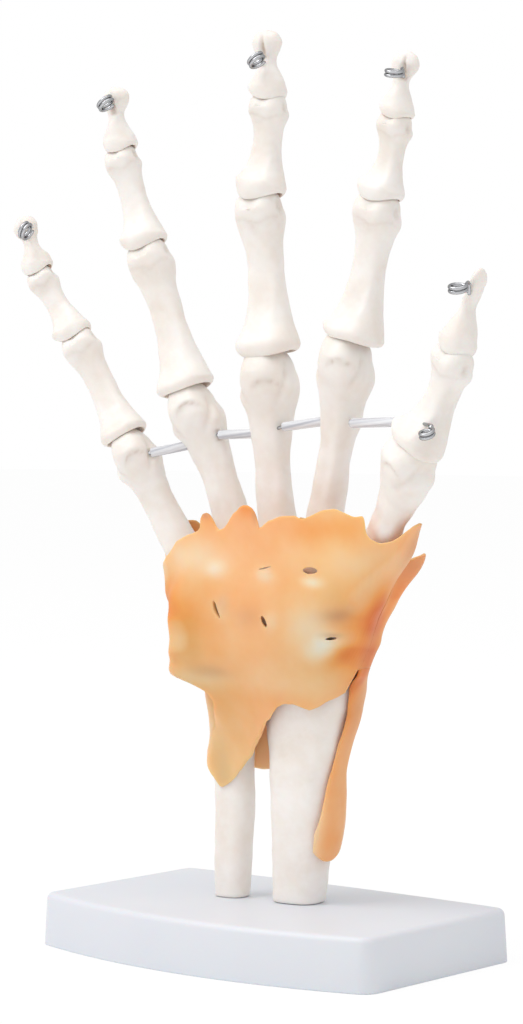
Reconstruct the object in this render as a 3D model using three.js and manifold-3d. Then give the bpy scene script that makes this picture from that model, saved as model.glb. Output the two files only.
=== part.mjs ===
// Wired skeleton of a right hand with its wrist ligaments, standing on a moulded base.
// Millimetres, +Z up, palm towards -Y, thumb towards +X, origin at the middle of the base's underside.
import * as THREE from "three";
import { mergeVertices } from "three/addons/utils/BufferGeometryUtils.js";
import Module from "manifold-3d";

const wasm = await Module();
wasm.setup();

// Clearances
const FIT = 0.3;
const JOINT_GAP = 0.7;
const CARPAL_GAP = 0.5;
const SHEET_GAP = 0.55;

// Moulded base
const BASE_LENGTH = 123;
const BASE_WIDTH = 66;
const BASE_HEIGHT = 15.3;
const BASE_WALL = 2.6;
const BASE_PLATE = 3.2;
const BASE_DRAFT = 0.8;
const BASE_EDGE = 2;
const BASE_CORNER = 4;
const CORNER_LEAST = 0.6;
const CORNER_STEPS = 3;
const EDGE_ROUND = 0.3;
const FRONT_BOW = 10;
const BACK_BOW = 2;
const BOW_STEPS = 8;
const RIB_THICKNESS = 4;
const BOSS_RADIUS = 6.5;
const BOSS_SIDES = 20;
const ROOT = 1;

// Base screws
const SCREW_RADIUS = 1.5;
const SCREW_HEAD_RADIUS = 3.4;
const SCREW_HEAD_HEIGHT = 2.2;
const SCREW_BITE = 12;
const SCREW_POINT = 2;
const SCREW_CROWN = 0.7;
const SCREW_CHEEK = 0.6;
const SCREW_SIDES = 12;
const COUNTERBORE_RADIUS = 4;
const COUNTERBORE_SIDES = 16;

// Hand frame: its origin is the middle of the wrist's axis, which the forearm bones hold at this height.
// Heights in the hand frame are measured from that axis.
const WRIST_HEIGHT = 93;
const HAND_YAW = 8;
const HAND_X = -1.5;
const HAND_Y = 0.5;

// Forearm bones, in the hand frame
const RADIUS_FOOT = { x: 9.65, y: 0.5, width: 14.3, depth: 12.6 };
const RADIUS_SHAFT = { x: 11.3, y: 0.5, width: 18.8, depth: 14 };
const RADIUS_HEAD = { x: 13.9, y: 0, width: 30, depth: 18 };
const ULNA_FOOT = { x: -12.2, y: -1, width: 9.8, depth: 8.5 };
const ULNA_SHAFT = { x: -11.6, y: -0.5, width: 11.2, depth: 9.7 };
const ULNA_HEAD = { x: -11.2, y: 0, width: 15, depth: 13.6 };
const SHAFT_TOP = -51;
const ULNA_SETBACK = 2.4;
const RADIUS_FLARE = 1.6;
const ULNA_FLARE = 6;
const FOREARM_LIP = 3;

// Wrist: the carpal condyle turns about the x axis of the hand frame
const CONDYLE_RADIUS = 12.6;
const CONDYLE_DROP = 3.4;
const CONDYLE_MIDDLE = 2;
const CONDYLE_HALF = 27;

// Carpal bones: seed point, reach along x, y and z, and share of the gap to a neighbour
const CARPALS = {
  scaphoid: { seed: [17.5, -1.5, -4.5], reach: [11.5, 9, 9.5], share: 1.1 },
  lunate: { seed: [2.5, 0, -5.5], reach: [8.5, 9.5, 9.5], share: 1 },
  triquetrum: { seed: [-14.5, 1.5, -3], reach: [10.5, 8, 8], share: 1.1 },
  pisiform: { seed: [-18.6, -10.6, -1], reach: [5.2, 5.2, 6.6], share: 0.8 },
  trapezium: { seed: [28.5, -9, 5.5], reach: [9.5, 8.5, 9], share: 1 },
  trapezoid: { seed: [16.5, 1.5, 10], reach: [8, 9, 8.5], share: 0.9 },
  capitate: { seed: [4, 0.5, 8.5], reach: [8.2, 9, 11], share: 1 },
  hamate: { seed: [-11, 0, 9], reach: [12, 9.5, 9], share: 1.2 },
};

// Rays of the hand. Joint centres run from the metacarpal base out to the fingertip.
// Each bone gives half widths and half depths at its base, waist and head, the head's depth being its radius.
const RAYS = {
  thumb: {
    coil: { side: 2, shift: 1.4, up: 0.83 },
    roll: 28,
    joints: [[36.5, -15.5, 12], [59, -23.5, 50.3], [73.6, -26, 76.6], [82.6, -28, 102]],
    metacarpal: { base: [7.2, 6.6], waist: [5.4, 4.6], head: [8, 7] },
    proximal: { base: [8.3, 7], waist: [5, 4.1], head: [6.6, 5] },
    distal: { base: [5.9, 4.9], waist: [3, 2.6], head: [4, 2.4] },
  },
  index: {
    coil: { side: 1.4, shift: 0.2, up: 0.77 },
    roll: 6,
    joints: [[15.5, -0.5, 17.6], [27.6, -2, 78.6], [36.6, -2, 119.7], [42.1, -2, 143.2], [46.8, -2, 163.8]],
    metacarpal: { base: [5.7, 7.4], waist: [4.6, 4.5], head: [8.4, 8] },
    proximal: { base: [8.9, 7.6], waist: [5, 4.1], head: [7.1, 5.4] },
    middle: { base: [6.9, 5.6], waist: [3.8, 3.2], head: [5.2, 4.1] },
    distal: { base: [5.1, 4.3], waist: [2.7, 2.3], head: [4, 2.4] },
  },
  middle: {
    coil: { side: -0.4, shift: 1.4, up: 0.64 },
    roll: 0,
    joints: [[4, 0.2, 17.6], [0.1, 0, 74.9], [-3.7, 0, 121.6], [-0.6, 0, 150.8], [-1.3, 0, 173.2]],
    metacarpal: { base: [5.7, 7.6], waist: [5, 4.7], head: [9, 8.3] },
    proximal: { base: [9.3, 7.9], waist: [5.4, 4.4], head: [7.3, 5.6] },
    middle: { base: [7.5, 5.9], waist: [4.3, 3.5], head: [5.7, 4.4] },
    distal: { base: [5.7, 4.6], waist: [2.9, 2.5], head: [4.5, 2.6] },
  },
  ring: {
    coil: { side: -1, shift: 1, up: 0.86 },
    roll: -6,
    joints: [[-9, -0.4, 17.4], [-24.9, -3, 64.9], [-39.6, -3.6, 108.7], [-48.9, -4, 137.6],
      [-51, -4.2, 159.5]],
    metacarpal: { base: [5.5, 6.8], waist: [4.7, 4.3], head: [8.1, 7.5] },
    proximal: { base: [8.4, 7.2], waist: [4.8, 4], head: [6.7, 5.2] },
    middle: { base: [7, 5.5], waist: [4, 3.3], head: [5.3, 4.2] },
    distal: { base: [5.1, 4.3], waist: [2.7, 2.3], head: [4, 2.4] },
  },
  little: {
    coil: { side: 0.4, shift: 1.9, up: 0.86 },
    roll: -14,
    joints: [[-23.6, -2.8, 16.4], [-42.3, -8, 51.7], [-60.6, -9, 83.3], [-74.1, -9.6, 102.9],
      [-81.2, -10, 122]],
    metacarpal: { base: [5.4, 6], waist: [4.4, 4], head: [7.3, 6.8] },
    proximal: { base: [7, 6], waist: [4.1, 3.4], head: [5.6, 4.3] },
    middle: { base: [5.8, 4.6], waist: [3.3, 2.8], head: [4.5, 3.5] },
    distal: { base: [4.6, 3.6], waist: [2.4, 2.1], head: [3.6, 2.1] },
  },
};

// Bone surface style
const SECTION_POWER = 2.4;
const TIP_POWER = 2.1;
const FOREARM_POWER = 2.8;
const RING_SIDES = 10;
const FOREARM_SIDES = 16;
const CARPAL_ROWS = 7;
const CARPAL_POWER = 6;
const SHAFT_BOW = 0.35;
const LIP = 0.8;
const RIM = 0.8;
const CUP_SHARES = [0.4, 0.78, 0.97];
const HEAD_SHARES = [0.92, 0.6];
const GROOVE_WIDTH = 0.3;
const FLAT_CHAMFER = 1.5;
const FLAT_SHARE = 0.9;
const TIP_BOW = 0.5;
const CONDYLE_GROOVE = 0.08;
const CONDYLE_EDGE = 0.12;
const KNUCKLE_EDGE = 0.3;
const FIT_STEPS = 8;

// Places of the rings between a forearm bone's shaft and its head
const NECK_STATIONS = [0.3, 0.58, 0.82, 1];

// Fingertip bone: place along it, then its half width and half depth against its waist,
// where 1 is as large as its base and -1 as large as its tuft
const TIP_STATIONS = [
  [0, 1, 1],
  [0.2, 0.6, 0.65],
  [0.48, 0, 0],
  [0.62, -0.15, -0.1],
  [0.76, -0.9, -0.8],
  [0.87, -1, -1],
  [0.95, -0.45, -0.6],
];

// Wire and clear tube
const WIRE_RADIUS = 0.5;
const WIRE_SIDES = 5;
const STEEP_PATH = 0.2;
const WIRE_STUB = 0.2;
const WIRE_START = 3;
const CHANNEL_RUN = 2;
const CHANNEL_END = 0.5;
const HOLE_SIDES = 8;
const COIL_RADIUS = 2.3;
const COIL_TURNS = 2;
const COIL_PITCH = 1.45;
const COIL_STEPS = 12;
const COIL_START = 25;
const COIL_LIFT = -0.35;
const COIL_STANDOFF = 1.5;
const TUBE_RADIUS = 1.6;
const TUBE_BORE = 0.9;
const TUBE_SIDES = 10;

// Tie wire across the metacarpals, in the hand frame: where it ends in the little finger's
// metacarpal, and where each clear spacer tube starts and ends
const WIRE_BREAK = 0.4;
const TIE_END = [-40.2, -9.6, 50.2];
const SPACERS = {
  little_ring: [[-36.6, -9.2, 51.2], [-24.6, -5, 54.2]],
  ring_middle: [[-17.2, -4.3, 56], [-6.2, -2.2, 57.8]],
  middle_index: [[3.4, -2.1, 58.8], [20.8, -3.6, 60.6]],
  index_thumb: [[26.8, -4.2, 60.5], [55.4, -19.9, 60.6]],
};
const TIED_BONES = [
  "little_metacarpal",
  "ring_metacarpal",
  "middle_metacarpal",
  "index_metacarpal",
  "thumb_proximal",
];

// Where the tie wire leaves the thumb's proximal bone, in that bone's frame, and how far it leans
const THUMB_EXIT = [6.5, -3.5, 14];
const THUMB_EXIT_LEAN = 53;
const TIE_COIL_RADIUS = 1.8;

// Ligament sheets, laid round an upright axis in the hand frame
const SHEET_THICKNESS = 1.2;
const SHEET_AXIS = { x: 4, y: -3 };

// Taut wrap round the bones: distance from the sheet axis to the bones' outline, by turn and height
const WRAP_LOW = -69;
const WRAP_HIGH = 39;
const WRAP_ROW = 2;
const WRAP_TURNS = 120;
const WRAP_REACH = 8;
const WRAP_SOFT = 2.5;
const WRAP_FLAT = 3.5;
const WRAP_LEAN = 0.17;
const WRAP_SHARES = [0, 0.25, 0.5, 0.75];
const WRAP_INSIDE = 1.001;
const THUMB_REACH = 3;
const THUMB_TURNS = 2;
const THUMB_ROUND = 0.35;
const THUMB_FREE = [11, 25];

// Where the sheets stand off the thumb's saddle joint
const FLARE = { out: 4.4, turn: -5, spread: 11, height: 13, rise: 10 };

// Edges of the sheets, as turn in degrees round the sheet axis and height.
// Turn 0 faces the thumb side and -90 the palm.
const PALMAR = {
  columns: 44,
  rows: 11,
  from: -179.4,
  to: -12.5,
  low: [[-180, -15], [-177, -17], [-174.5, -31], [-171, -41], [-168, -44], [-164, -43], [-160, -41],
    [-142, -37], [-120, -32], [-102, -29], [-80, -25], [-56, -21], [-44, -19], [-30, -20], [-24, -20.5],
    [-16, -18], [-12, -14]],
  high: [[-180, 17], [-174, 21], [-168, 26], [-163, 30], [-158, 30], [-152, 36], [-147, 37], [-138, 33],
    [-124, 30], [-112, 31], [-98, 32], [-80, 33.5], [-66, 34], [-56, 32], [-48, 33], [-42, 31],
    [-32, 26], [-24, 26], [-18, 29], [-12, 31]],
};
const DORSAL = {
  columns: 34,
  rows: 7,
  from: -11.7,
  to: 179.8,
  low: [[-12, -9], [36, -9], [46, -14], [60, -17], [90, -21], [104, -27], [114, -35], [122, -40], [132, -41],
    [141, -37], [148, -29], [158, -21], [172, -15], [180, -12]],
  high: [[-12, 33], [-8, 31], [-4, 22], [0, 23], [3, 26], [9, 20], [22, 24], [36, 31], [50, 28],
    [66, 32], [84, 33], [98, 28], [112, 32], [126, 27], [140, 31], [152, 26], [162, 31], [168, 34],
    [174, 29], [180, 20]],
};
const STRIP = {
  top: -9.6,
  bottom: -65,
  rows: 14,
  columns: 4,
  middle: [[-65, 4.5], [-53, 7.5], [-33, 9.5], [-9, 13]],
  halfWidth: [[-65, 2.2], [-62, 4.4], [-53, 5.2], [-35, 3.8], [-23, 3.6], [-9, 5.5]],
};

// Openings through the palmar sheet: turn, height, half width, half height and lean
const OPENING_DEPTH = 16;
const OPENING_SIDES = 8;
const OPENINGS = [
  { turn: -121, height: 6.5, wide: 0.9, tall: 2.9, lean: -26 },
  { turn: -67, height: 4.5, wide: 0.8, tall: 1.9, lean: -24 },
  { turn: -42, height: 18.5, wide: 2.2, tall: 1.9, lean: -30 },
  { turn: -31, height: 0, wide: 1.3, tall: 1.8, lean: -20 },
];

const BONE = new THREE.MeshStandardMaterial({ color: 0xf2eae4, roughness: 0.55, metalness: 0 });
const BASE_WHITE = new THREE.MeshStandardMaterial({ color: 0xe4e6ec, roughness: 0.4, metalness: 0 });
const LIGAMENT = new THREE.MeshStandardMaterial({ color: 0xf0a868, roughness: 0.45, metalness: 0 });
const STEEL = new THREE.MeshStandardMaterial({ color: 0xb8babd, roughness: 0.3, metalness: 1 });
const CLEAR = new THREE.MeshStandardMaterial({ color: 0xc8cad6, roughness: 0.2, metalness: 0 });

const lerp = THREE.MathUtils.lerp;
const clamp = THREE.MathUtils.clamp;
const radians = THREE.MathUtils.degToRad;
const vector = (x, y, z) => new THREE.Vector3(x, y, z);

function pathOf(points) {
  return points.map((p) => vector(...p));
}

// Closed skin over rings of points, with a fan from a middle point at each end
function skin(rings, first, last) {
  const sides = rings[0].length;
  const points = [first, ...rings.flat(), last];
  const end = points.length - 1;
  const faces = [];
  for (let i = 0; i < sides; i += 1) {
    const next = (i + 1) % sides;
    faces.push(0, 1 + next, 1 + i);
    for (let ring = 0; ring + 1 < rings.length; ring += 1) {
      const low = 1 + ring * sides;
      const high = low + sides;
      faces.push(low + i, low + next, high + next);
      faces.push(low + i, high + next, high + i);
    }
    const top = 1 + (rings.length - 1) * sides;
    faces.push(top + i, top + next, end);
  }
  return geometryOf(points, faces);
}

// Closed ring-shaped skin: the last ring joins the first
function ringSkin(rings) {
  const sides = rings[0].length;
  const faces = [];
  for (let ring = 0; ring < rings.length; ring += 1) {
    const low = ring * sides;
    const high = ((ring + 1) % rings.length) * sides;
    for (let i = 0; i < sides; i += 1) {
      const next = (i + 1) % sides;
      faces.push(low + i, low + next, high + next);
      faces.push(low + i, high + next, high + i);
    }
  }
  return geometryOf(rings.flat(), faces);
}

function geometryOf(points, faces) {
  return geometryFrom(points.flatMap((p) => [p.x, p.y, p.z]), faces);
}

function geometryFrom(numbers, faces) {
  const geometry = new THREE.BufferGeometry();
  geometry.setAttribute("position", new THREE.Float32BufferAttribute(numbers, 3));
  geometry.setIndex(faces);
  geometry.computeVertexNormals();
  return geometry;
}

function toSolid(geometry) {
  const bare = geometry.clone();
  bare.deleteAttribute("normal");
  bare.deleteAttribute("uv");
  const welded = mergeVertices(bare, 1e-5);
  const vertProperties = Float32Array.from(welded.attributes.position.array);
  const triVerts = Uint32Array.from(welded.index.array);
  return new wasm.Manifold(new wasm.Mesh({ numProp: 3, vertProperties, triVerts }));
}

function fromSolid(solid) {
  const mesh = solid.getMesh();
  return geometryFrom(Array.from(mesh.vertProperties), Array.from(mesh.triVerts));
}

// Cuts a list of geometries out of a body, or joins them to it
function cut(body, tools) {
  return fromSolid(tools.reduce((solid, tool) => solid.subtract(toSolid(tool)), toSolid(body)));
}

function join(body, extras) {
  return fromSolid(extras.reduce((solid, extra) => solid.add(toSolid(extra)), toSolid(body)));
}

// Upright cylinder from one height to another
function post(x, y, low, high, radius, sides) {
  const geometry = new THREE.CylinderGeometry(radius, radius, high - low, sides);
  geometry.rotateX(Math.PI / 2);
  geometry.translate(x, y, (low + high) / 2);
  return geometry;
}

// Point on a rounded section with half width a and half depth b
function sectionPoint(a, b, turn, power) {
  const c = Math.cos(turn);
  const s = Math.sin(turn);
  const e = 2 / power;
  return [a * Math.sign(c) * Math.abs(c) ** e, b * Math.sign(s) * Math.abs(s) ** e];
}

// Points round a section
function outlineOf([a, b], power, sides) {
  return Array.from({ length: sides }, (_, i) => sectionPoint(a, b, (2 * Math.PI * i) / sides, power));
}

function ringAt(outline, middle, height) {
  return outline.map(([x, y]) => vector(middle[0] + x, middle[1] + y, height));
}

// Radius of a joint head at distance x from its middle
function headRadius(head, x, knuckle) {
  const side = (x / head[0]) ** 4;
  if (knuckle) {
    return head[1] * (1 - KNUCKLE_EDGE * side);
  }
  const groove = Math.exp(-((x / (GROOVE_WIDTH * head[0])) ** 2));
  return head[1] * (1 - CONDYLE_GROOVE * groove - CONDYLE_EDGE * side);
}

// Rounded head of a bone: points over a section outline, lifted onto the head's round
function headRings(outline, head, knuckle, length, shares) {
  return shares.map((share) =>
    outline.map(([x, y]) => {
      const r = headRadius(head, share * x, knuckle);
      const lift = Math.sqrt(Math.max(r * r - (share * y) ** 2, 0));
      return vector(share * x, share * y, length + lift);
    }),
  );
}

// Height of a hollow base over a point of its outline, one joint gap clear of the head it turns on.
// The socket's turn takes the bone's own frame to the frame of the bone that carries the head.
function cupHeight(socket, x, y) {
  const point = vector(x, y, socket.head[1]);
  for (let i = 0; i < FIT_STEPS; i += 1) {
    const seen = point.clone().applyQuaternion(socket.turn);
    const across = clamp(seen.x, -socket.head[0], socket.head[0]);
    const r = headRadius(socket.head, across, socket.knuckle) + JOINT_GAP;
    const depth = Math.min(Math.abs(seen.y), LIP * r);
    point.z += Math.sqrt(r * r - depth * depth) - seen.z;
  }
  return point.z;
}

function cupRings(outline, socket, shares) {
  return shares.map((share) =>
    outline.map(([x, y]) => vector(share * x, share * y, cupHeight(socket, share * x, share * y))),
  );
}

// Highest point of the outer rim of a hollow base
function rimTop(rings) {
  return Math.max(...rings[rings.length - 1].map((p) => p.z));
}

// Widths along a shaft from its base to its head
function shaftStations(bone, knuckle) {
  const mix = (from, to, t) => [lerp(from[0], to[0], t), lerp(from[1], to[1], t)];
  return [
    { at: 0, size: bone.base },
    { at: 0.14, size: mix(bone.base, bone.waist, 0.45) },
    { at: 0.36, size: mix(bone.base, bone.waist, 0.9) },
    { at: 0.6, size: bone.waist },
    { at: 0.78, size: mix(bone.waist, bone.head, knuckle ? 0.6 : 0.35) },
    { at: 0.9, size: mix(bone.waist, bone.head, knuckle ? 1.05 : 0.95) },
  ];
}

// Bone with a head at its far end. Its own frame has z along it, y to the back of the hand
// and its near joint's centre at the origin. Without a socket, its base is flat.
function longBone(bone, length, socket) {
  const knuckle = !socket;
  const foot = outlineOf(bone.base, SECTION_POWER, RING_SIDES);
  const rings = socket ? cupRings(foot, socket, CUP_SHARES) : [];
  const start = socket ? rimTop(rings) + RIM : FLAT_CHAMFER;
  if (!socket) {
    rings.push(ringAt(foot.map(([x, y]) => [FLAT_SHARE * x, FLAT_SHARE * y]), [0, 0], 0));
  }
  for (const { at, size } of shaftStations(bone, knuckle)) {
    const bow = SHAFT_BOW * size[1] * Math.sin(Math.PI * at);
    rings.push(ringAt(outlineOf(size, SECTION_POWER, RING_SIDES), [0, bow], lerp(start, length, at)));
  }
  const round = outlineOf(bone.head, SECTION_POWER, RING_SIDES);
  rings.push(ringAt(round, [0, 0], length));
  rings.push(...headRings(round, bone.head, knuckle, length, HEAD_SHARES));
  const floor = socket ? cupHeight(socket, 0, 0) : 0;
  const crown = length + headRadius(bone.head, 0, knuckle);
  return skin(rings, vector(0, 0, floor), vector(0, 0, crown));
}

// Fingertip bone: hollow base, narrow neck and a rounded tuft
function tipBone(bone, length, socket) {
  const rings = cupRings(outlineOf(bone.base, SECTION_POWER, RING_SIDES), socket, CUP_SHARES);
  const start = rimTop(rings) + RIM;
  const sizeOf = (amount, axis) => {
    const far = amount > 0 ? bone.base[axis] : bone.head[axis];
    return lerp(bone.waist[axis], far, Math.abs(amount));
  };
  for (const [at, wide, deep] of TIP_STATIONS) {
    const outline = outlineOf([sizeOf(wide, 0), sizeOf(deep, 1)], TIP_POWER, RING_SIDES);
    rings.push(ringAt(outline, [0, TIP_BOW * Math.sin(Math.PI * at)], lerp(start, length, at)));
  }
  return skin(rings, vector(0, 0, cupHeight(socket, 0, 0)), vector(0, 0, length));
}

// Tube along a list of points, solid or with a bore, ends square to the path
function tube(path, radius, sides, bore) {
  const frames = path.map((point, i) => {
    const before = path[Math.max(i - 1, 0)];
    const after = path[Math.min(i + 1, path.length - 1)];
    return { point, along: after.clone().sub(before).normalize() };
  });
  const side = vector(0, 0, 1).cross(frames[0].along);
  if (side.length() < STEEP_PATH) {
    side.set(1, 0, 0);
  }
  const ringsOf = (size) => {
    const across = side.clone();
    return frames.map(({ point, along }) => {
      across.addScaledVector(along, -across.dot(along)).normalize();
      const up = along.clone().cross(across);
      return Array.from({ length: sides }, (_, i) => {
        const turn = (2 * Math.PI * i) / sides;
        const corner = point.clone().addScaledVector(across, size * Math.cos(turn));
        return corner.addScaledVector(up, size * Math.sin(turn));
      });
    });
  };
  if (bore) {
    return ringSkin([...ringsOf(radius), ...ringsOf(bore).reverse()]);
  }
  return skin(ringsOf(radius), path[0].clone(), path[path.length - 1].clone());
}

// Two-turn wire coil about an upright axis, from a point next to the bone and away downwards
function coilPath(middle, start, radius) {
  const points = [];
  const steps = COIL_STEPS * COIL_TURNS;
  for (let i = 0; i <= steps; i += 1) {
    const turn = start + (2 * Math.PI * i) / COIL_STEPS;
    const drop = (COIL_PITCH * i) / COIL_STEPS;
    const [across, back] = [radius * Math.sin(turn), radius * Math.cos(turn)];
    points.push(vector(middle.x + across, middle.y + back, middle.z - drop));
  }
  const [before, last] = points.slice(-2);
  const end = last.clone().sub(before).setLength(2 * WIRE_RADIUS);
  points.push(last.clone().add(end));
  return points;
}

// Least gap between two stretches of a wire that are more than half a turn apart,
// measured between points set closely along it
function selfGap(path, radius) {
  const step = WIRE_RADIUS / 2;
  const points = [];
  for (let i = 0; i + 1 < path.length; i += 1) {
    const count = Math.ceil(path[i].distanceTo(path[i + 1]) / step);
    for (let k = 0; k < count; k += 1) {
      points.push(path[i].clone().lerp(path[i + 1], k / count));
    }
  }
  const apart = Math.ceil((Math.PI * radius) / step);
  let least = Infinity;
  points.forEach((point, i) => {
    for (const other of points.slice(i + apart)) {
      least = Math.min(least, point.distanceTo(other) - 2 * WIRE_RADIUS);
    }
  });
  return least;
}

const hand = new THREE.Group();
hand.position.set(HAND_X, HAND_Y, WRIST_HEIGHT);
hand.rotation.z = radians(HAND_YAW);
hand.updateMatrixWorld();

const model = new THREE.Group();
model.add(hand);

function addMesh(parent, name, geometry, material) {
  const mesh = new THREE.Mesh(geometry, material);
  mesh.name = name;
  parent.add(mesh);
  return mesh;
}

// Plan outline of the base, drawn in by an inset, with bowed front and back
function baseOutline(inset, height) {
  const halfLength = BASE_LENGTH / 2 - inset;
  const halfWidth = BASE_WIDTH / 2 - inset;
  const corner = Math.max(BASE_CORNER - inset, CORNER_LEAST);
  const points = [];
  const bowed = (x, y, bow) => y + Math.sign(y) * bow * (1 - (x / (BASE_LENGTH / 2)) ** 2);
  const quarters = [[1, -1, -90], [1, 1, 0], [-1, 1, 90], [-1, -1, 180]];
  for (const [sx, sy, from] of quarters) {
    for (let i = 0; i <= CORNER_STEPS; i += 1) {
      const turn = radians(from + (90 * i) / CORNER_STEPS);
      const x = sx * (halfLength - corner) + corner * Math.cos(turn);
      const y = sy * (halfWidth - corner) + corner * Math.sin(turn);
      points.push(vector(x, bowed(x, y, y < 0 ? FRONT_BOW : BACK_BOW), height));
    }
    if (sx === sy) {
      for (let i = 1; i < BOW_STEPS; i += 1) {
        const x = sx * (halfLength - corner) * (1 - (2 * i) / BOW_STEPS);
        points.push(vector(x, bowed(x, sy * halfWidth, sy < 0 ? FRONT_BOW : BACK_BOW), height));
      }
    }
  }
  return points;
}

function inWorld(x, y) {
  return hand.localToWorld(vector(x, y, 0));
}

const SCREW_SPOTS = {
  base_screw_radius: inWorld(RADIUS_FOOT.x, RADIUS_FOOT.y),
  base_screw_ulna: inWorld(ULNA_FOOT.x, ULNA_FOOT.y),
};

// Base: a shell open below, with a rib and two screw bosses
function buildBase() {
  const ceiling = BASE_HEIGHT - BASE_PLATE;
  const top = BASE_HEIGHT;
  const rings = [
    baseOutline(BASE_WALL + BASE_DRAFT, ceiling),
    baseOutline(BASE_WALL, 0),
    baseOutline(0, 0),
    baseOutline(BASE_DRAFT, top - BASE_EDGE),
    baseOutline(BASE_DRAFT + EDGE_ROUND * BASE_EDGE, top - EDGE_ROUND * BASE_EDGE),
    baseOutline(BASE_DRAFT + BASE_EDGE, top),
  ];
  const shell = skin(rings, vector(0, 0, ceiling), vector(0, 0, top));
  const rib = new THREE.BoxGeometry(BASE_LENGTH - BASE_WALL, RIB_THICKNESS, ceiling + ROOT);
  rib.translate(0, 0, (ceiling + ROOT) / 2);
  const spots = Object.values(SCREW_SPOTS);
  const bosses = spots.map((p) => post(p.x, p.y, 0, ceiling + ROOT, BOSS_RADIUS, BOSS_SIDES));
  const bores = spots.map((p) => post(p.x, p.y, -ROOT, ceiling, COUNTERBORE_RADIUS, COUNTERBORE_SIDES));
  const holes = spots.map((p) => post(p.x, p.y, 0, top + ROOT, SCREW_RADIUS + FIT, SCREW_SIDES));
  addMesh(model, "base_shell", cut(join(shell, [rib, ...bosses]), [...bores, ...holes]), BASE_WHITE);
}

// Pan-head screw up through the base plate into the foot of a forearm bone
function buildScrews() {
  const seat = BASE_HEIGHT - BASE_PLATE - FIT;
  for (const [name, spot] of Object.entries(SCREW_SPOTS)) {
    const profile = [
      [0, seat - SCREW_HEAD_HEIGHT],
      [SCREW_CROWN * SCREW_HEAD_RADIUS, seat - SCREW_HEAD_HEIGHT],
      [SCREW_HEAD_RADIUS, seat - SCREW_CHEEK * SCREW_HEAD_HEIGHT],
      [SCREW_HEAD_RADIUS, seat],
      [SCREW_RADIUS, seat],
      [SCREW_RADIUS, BASE_HEIGHT + SCREW_BITE - SCREW_POINT],
      [0, BASE_HEIGHT + SCREW_BITE],
    ];
    const outline = profile.map(([r, z]) => new THREE.Vector2(r, z));
    const screw = new THREE.LatheGeometry(outline, SCREW_SIDES);
    screw.rotateX(Math.PI / 2);
    screw.translate(spot.x, spot.y, 0);
    addMesh(model, name, fromSolid(toSolid(screw)), STEEL);
  }
}

// Radius of the carpal condyle at a place across the wrist
function condyleRadius(x) {
  return CONDYLE_RADIUS - CONDYLE_DROP * ((x - CONDYLE_MIDDLE) / CONDYLE_HALF) ** 2;
}

// Forearm bone from the base up to its hollow end under the condyle
function forearmBone({ foot, shaft, head, setback, flare }) {
  const plate = BASE_HEIGHT - WRIST_HEIGHT;
  const low = plate + FIT;
  const rings = [];
  const stationOf = (from, to, t, height) => {
    const size = [lerp(from.width, to.width, t) / 2, lerp(from.depth, to.depth, t) / 2];
    const middle = [lerp(from.x, to.x, t), lerp(from.y, to.y, t)];
    return ringAt(outlineOf(size, FOREARM_POWER, FOREARM_SIDES), middle, height);
  };
  rings.push(stationOf(foot, shaft, 0, low));
  rings.push(stationOf(foot, shaft, 1, SHAFT_TOP));
  const neck = -CONDYLE_RADIUS - setback - FOREARM_LIP;
  for (const up of NECK_STATIONS) {
    rings.push(stationOf(shaft, head, up ** flare, lerp(SHAFT_TOP, neck, up)));
  }
  const outline = outlineOf([head.width / 2, head.depth / 2], FOREARM_POWER, FOREARM_SIDES);
  for (const share of [...CUP_SHARES].reverse()) {
    rings.push(outline.map(([across, back]) => {
      const x = head.x + share * across;
      const y = head.y + share * back;
      const r = condyleRadius(x) + JOINT_GAP + setback;
      const reach = Math.min(Math.abs(y), LIP * r);
      return vector(x, y, -Math.sqrt(r * r - reach * reach));
    }));
  }
  const floor = -condyleRadius(head.x) - JOINT_GAP - setback;
  const body = skin(rings, vector(foot.x, foot.y, low), vector(head.x, 0, floor));
  const bore = post(foot.x, foot.y, low - ROOT, plate + SCREW_BITE + FIT, SCREW_RADIUS + FIT, SCREW_SIDES);
  return cut(body, [bore]);
}

// Carpal bone: a rounded block that stops short of each plane it is given
function carpalBone(name) {
  const { seed, reach } = CARPALS[name];
  const middle = vector(...seed);
  const planes = carpalPlanes(name);
  const rings = [];
  const radial = (direction) => {
    const limits = direction.toArray().map((part, axis) => Math.abs(part / reach[axis]));
    for (const { normal, distance } of planes) {
      limits.push(Math.max(direction.dot(normal) / distance, 0));
    }
    limits.push(1 / condyleReach(middle, direction));
    return limits.reduce((sum, limit) => sum + limit ** CARPAL_POWER, 0) ** (-1 / CARPAL_POWER);
  };
  const pointAt = (direction) => middle.clone().addScaledVector(direction, radial(direction));
  for (let row = 1; row < CARPAL_ROWS; row += 1) {
    const tilt = -Math.PI / 2 + (Math.PI * row) / CARPAL_ROWS;
    const ring = outlineOf([Math.cos(tilt), Math.cos(tilt)], 2, RING_SIDES);
    rings.push(ring.map(([x, y]) => pointAt(vector(x, y, Math.sin(tilt)))));
  }
  return skin(rings, pointAt(vector(0, 0, -1)), pointAt(vector(0, 0, 1)));
}

// Planes half a gap short of each neighbouring carpal, and a gap short of each metacarpal base
function carpalPlanes(name) {
  const middle = vector(...CARPALS[name].seed);
  const planes = [];
  for (const [other, { seed, share }] of Object.entries(CARPALS)) {
    if (other === name) {
      continue;
    }
    const away = vector(...seed).sub(middle);
    const part = CARPALS[name].share / (CARPALS[name].share + share);
    planes.push({ normal: away.clone().normalize(), distance: away.length() * part - CARPAL_GAP / 2 });
  }
  for (const ray of Object.values(RAYS)) {
    const [base, next] = pathOf(ray.joints);
    const along = next.sub(base).normalize();
    planes.push({ normal: along, distance: base.sub(middle).dot(along) - CARPAL_GAP });
  }
  return planes;
}

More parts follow.
